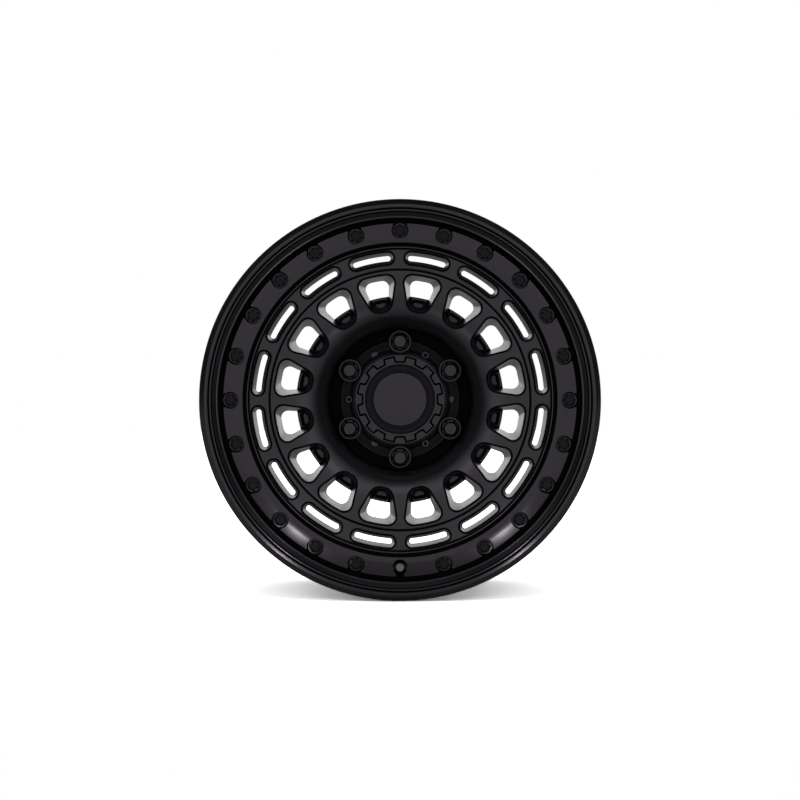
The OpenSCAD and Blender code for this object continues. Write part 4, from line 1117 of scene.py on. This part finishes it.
def build_floor():
    """A pale floor that keeps the wheel's shadow and shows white to the camera elsewhere."""
    floor_z = cad_box[0][2] - 0.0003
    mesh = bpy.data.meshes.new("floor")
    corners = [(-FLOOR_REACH, -FLOOR_FRONT), (FLOOR_REACH, -FLOOR_FRONT), (FLOOR_REACH, FLOOR_REACH),
               (-FLOOR_REACH, FLOOR_REACH)]
    mesh.from_pydata([(x, y, floor_z) for x, y in corners], [], [(0, 1, 2, 3)])
    floor = bpy.data.objects.new("floor", mesh)
    bpy.context.scene.collection.objects.link(floor)
    mat = bpy.data.materials.new("floor_white")
    mat.use_nodes = True
    nodes, links = mat.node_tree.nodes, mat.node_tree.links
    nodes.clear()
    out = nodes.new("ShaderNodeOutputMaterial")
    pale = nodes.new("ShaderNodeBsdfDiffuse")
    pale.inputs["Color"].default_value = (FLOOR_PALE, FLOOR_PALE, FLOOR_PALE, 1)
    white = nodes.new("ShaderNodeBsdfDiffuse")
    white.inputs["Color"].default_value = (FLOOR_WHITE, FLOOR_WHITE, FLOOR_WHITE, 1)
    path = nodes.new("ShaderNodeLightPath")
    chosen = nodes.new("ShaderNodeMixShader")
    links.new(path.outputs["Is Camera Ray"], chosen.inputs["Fac"])
    links.new(pale.outputs["BSDF"], chosen.inputs[1])
    links.new(white.outputs["BSDF"], chosen.inputs[2])
    links.new(chosen.outputs["Shader"], out.inputs["Surface"])
    mesh.materials.append(mat)


# Soft boxes that only reflections see: direction, full and zero brightness at degrees off it, strength
SOFT_BOXES = [
    ((0.0, -1.0, 0.0), 50, 92, 0.8),
    ((-1.0, -0.9, 0.0), 8, 22, 0.5),
    ((1.0, -0.9, 0.0), 8, 22, 0.5),
    ((0.0, 1.0, 0.0), 42, 70, 1.75),
    ((-0.7, -0.08, 0.7), 5, 18, 0.8),
    ((0.7, -0.08, 0.7), 5, 18, 0.8),
    ((-0.7, 0.25, -0.7), 6, 18, 0.8),
    ((0.7, 0.25, -0.7), 6, 18, 0.8),
]
AMBIENT = 0.5


def build_world():
    """White to the camera, an even light for shade, and soft boxes by direction for reflections."""
    world = bpy.data.worlds.new("studio")
    bpy.context.scene.world = world
    world.use_nodes = True
    nodes, links = world.node_tree.nodes, world.node_tree.links
    nodes.clear()
    out = nodes.new("ShaderNodeOutputWorld")
    path = nodes.new("ShaderNodeLightPath")
    where = nodes.new("ShaderNodeTexCoord")
    total = None
    for direction, full, zero, strength in SOFT_BOXES:
        cosine = nodes.new("ShaderNodeVectorMath")
        cosine.operation = "DOT_PRODUCT"
        cosine.inputs[1].default_value = Vector(direction).normalized()
        links.new(where.outputs["Generated"], cosine.inputs[0])
        box = nodes.new("ShaderNodeMapRange")
        box.interpolation_type = "SMOOTHSTEP"
        box.inputs["From Min"].default_value = math.cos(math.radians(zero))
        box.inputs["From Max"].default_value = math.cos(math.radians(full))
        box.inputs["To Max"].default_value = strength
        links.new(cosine.outputs["Value"], box.inputs["Value"])
        if total is None:
            total = box.outputs["Result"]
        else:
            both = nodes.new("ShaderNodeMath")
            links.new(total, both.inputs[0])
            links.new(box.outputs["Result"], both.inputs[1])
            total = both.outputs["Value"]
    backgrounds = []
    for strength in (1.0, 1.0, AMBIENT):
        background = nodes.new("ShaderNodeBackground")
        background.inputs["Color"].default_value = (1, 1, 1, 1)
        background.inputs["Strength"].default_value = strength
        backgrounds.append(background)
    camera_white, reflected, ambient = backgrounds
    links.new(total, reflected.inputs["Strength"])
    glossy = nodes.new("ShaderNodeMixShader")
    links.new(path.outputs["Is Glossy Ray"], glossy.inputs["Fac"])
    links.new(ambient.outputs["Background"], glossy.inputs[1])
    links.new(reflected.outputs["Background"], glossy.inputs[2])
    seen = nodes.new("ShaderNodeMixShader")
    links.new(path.outputs["Is Camera Ray"], seen.inputs["Fac"])
    links.new(glossy.outputs["Shader"], seen.inputs[1])
    links.new(camera_white.outputs["Background"], seen.inputs[2])
    links.new(seen.outputs["Shader"], out.inputs["Surface"])


def add_light(name, place, target, size, power):
    """A rectangular lamp that the camera doesn't see."""
    light = bpy.data.lights.new(name, "AREA")
    light.shape = "RECTANGLE"
    light.size, light.size_y = size
    light.energy = power
    obj = bpy.data.objects.new(name, light)
    obj.location = place
    obj.rotation_euler = (Vector(target) - Vector(place)).to_track_quat("-Z", "Y").to_euler()
    obj.visible_camera = False
    bpy.context.scene.collection.objects.link(obj)


def build_lights():
    """A large lamp above, one at each side, and two small ones for the glints low on the ring."""
    add_light("key_above", (0.0, -1.2, 2.2), (0, 0, 0), (1.6, 0.8), 4.5)
    add_light("key_left", (-1.2, -1.7, 1.2), (0, -0.1, 0), (0.8, 0.8), 4)
    add_light("key_right", (1.2, -1.7, 1.2), (0, -0.1, 0), (0.8, 0.8), 4)
    for name, side in (("glint_left", -1), ("glint_right", 1)):
        add_light(name, (side * 0.168, -0.401, -0.218), (side * 0.121, -0.112, -0.158), (0.03, 0.03), 0.09)


def build_camera():
    """Camera in front of the wheel, a little above its axis, aimed near the middle of the lip."""
    lip_y = -LIP_Z * MM
    camera = bpy.data.cameras.new("camera")
    camera.sensor_width = 36
    camera.lens = CAMERA_LENS
    obj = bpy.data.objects.new("camera", camera)
    obj.location = (0, lip_y - CAMERA_DISTANCE, CAMERA_HEIGHT)
    obj.rotation_euler = (Vector((0, lip_y, CAMERA_AIM)) - obj.location).to_track_quat("-Z", "Y").to_euler()
    bpy.context.scene.collection.objects.link(obj)
    bpy.context.scene.camera = obj


build_casting()
build_bolts()
build_nuts()
build_cap_base()
build_cap_ring()
build_cap_disc()
build_cap_screws()
build_valve_cap()
dress_nodes()
build_floor()
build_world()
build_lights()
build_camera()
bpy.context.scene.view_settings.view_transform = "Standard"
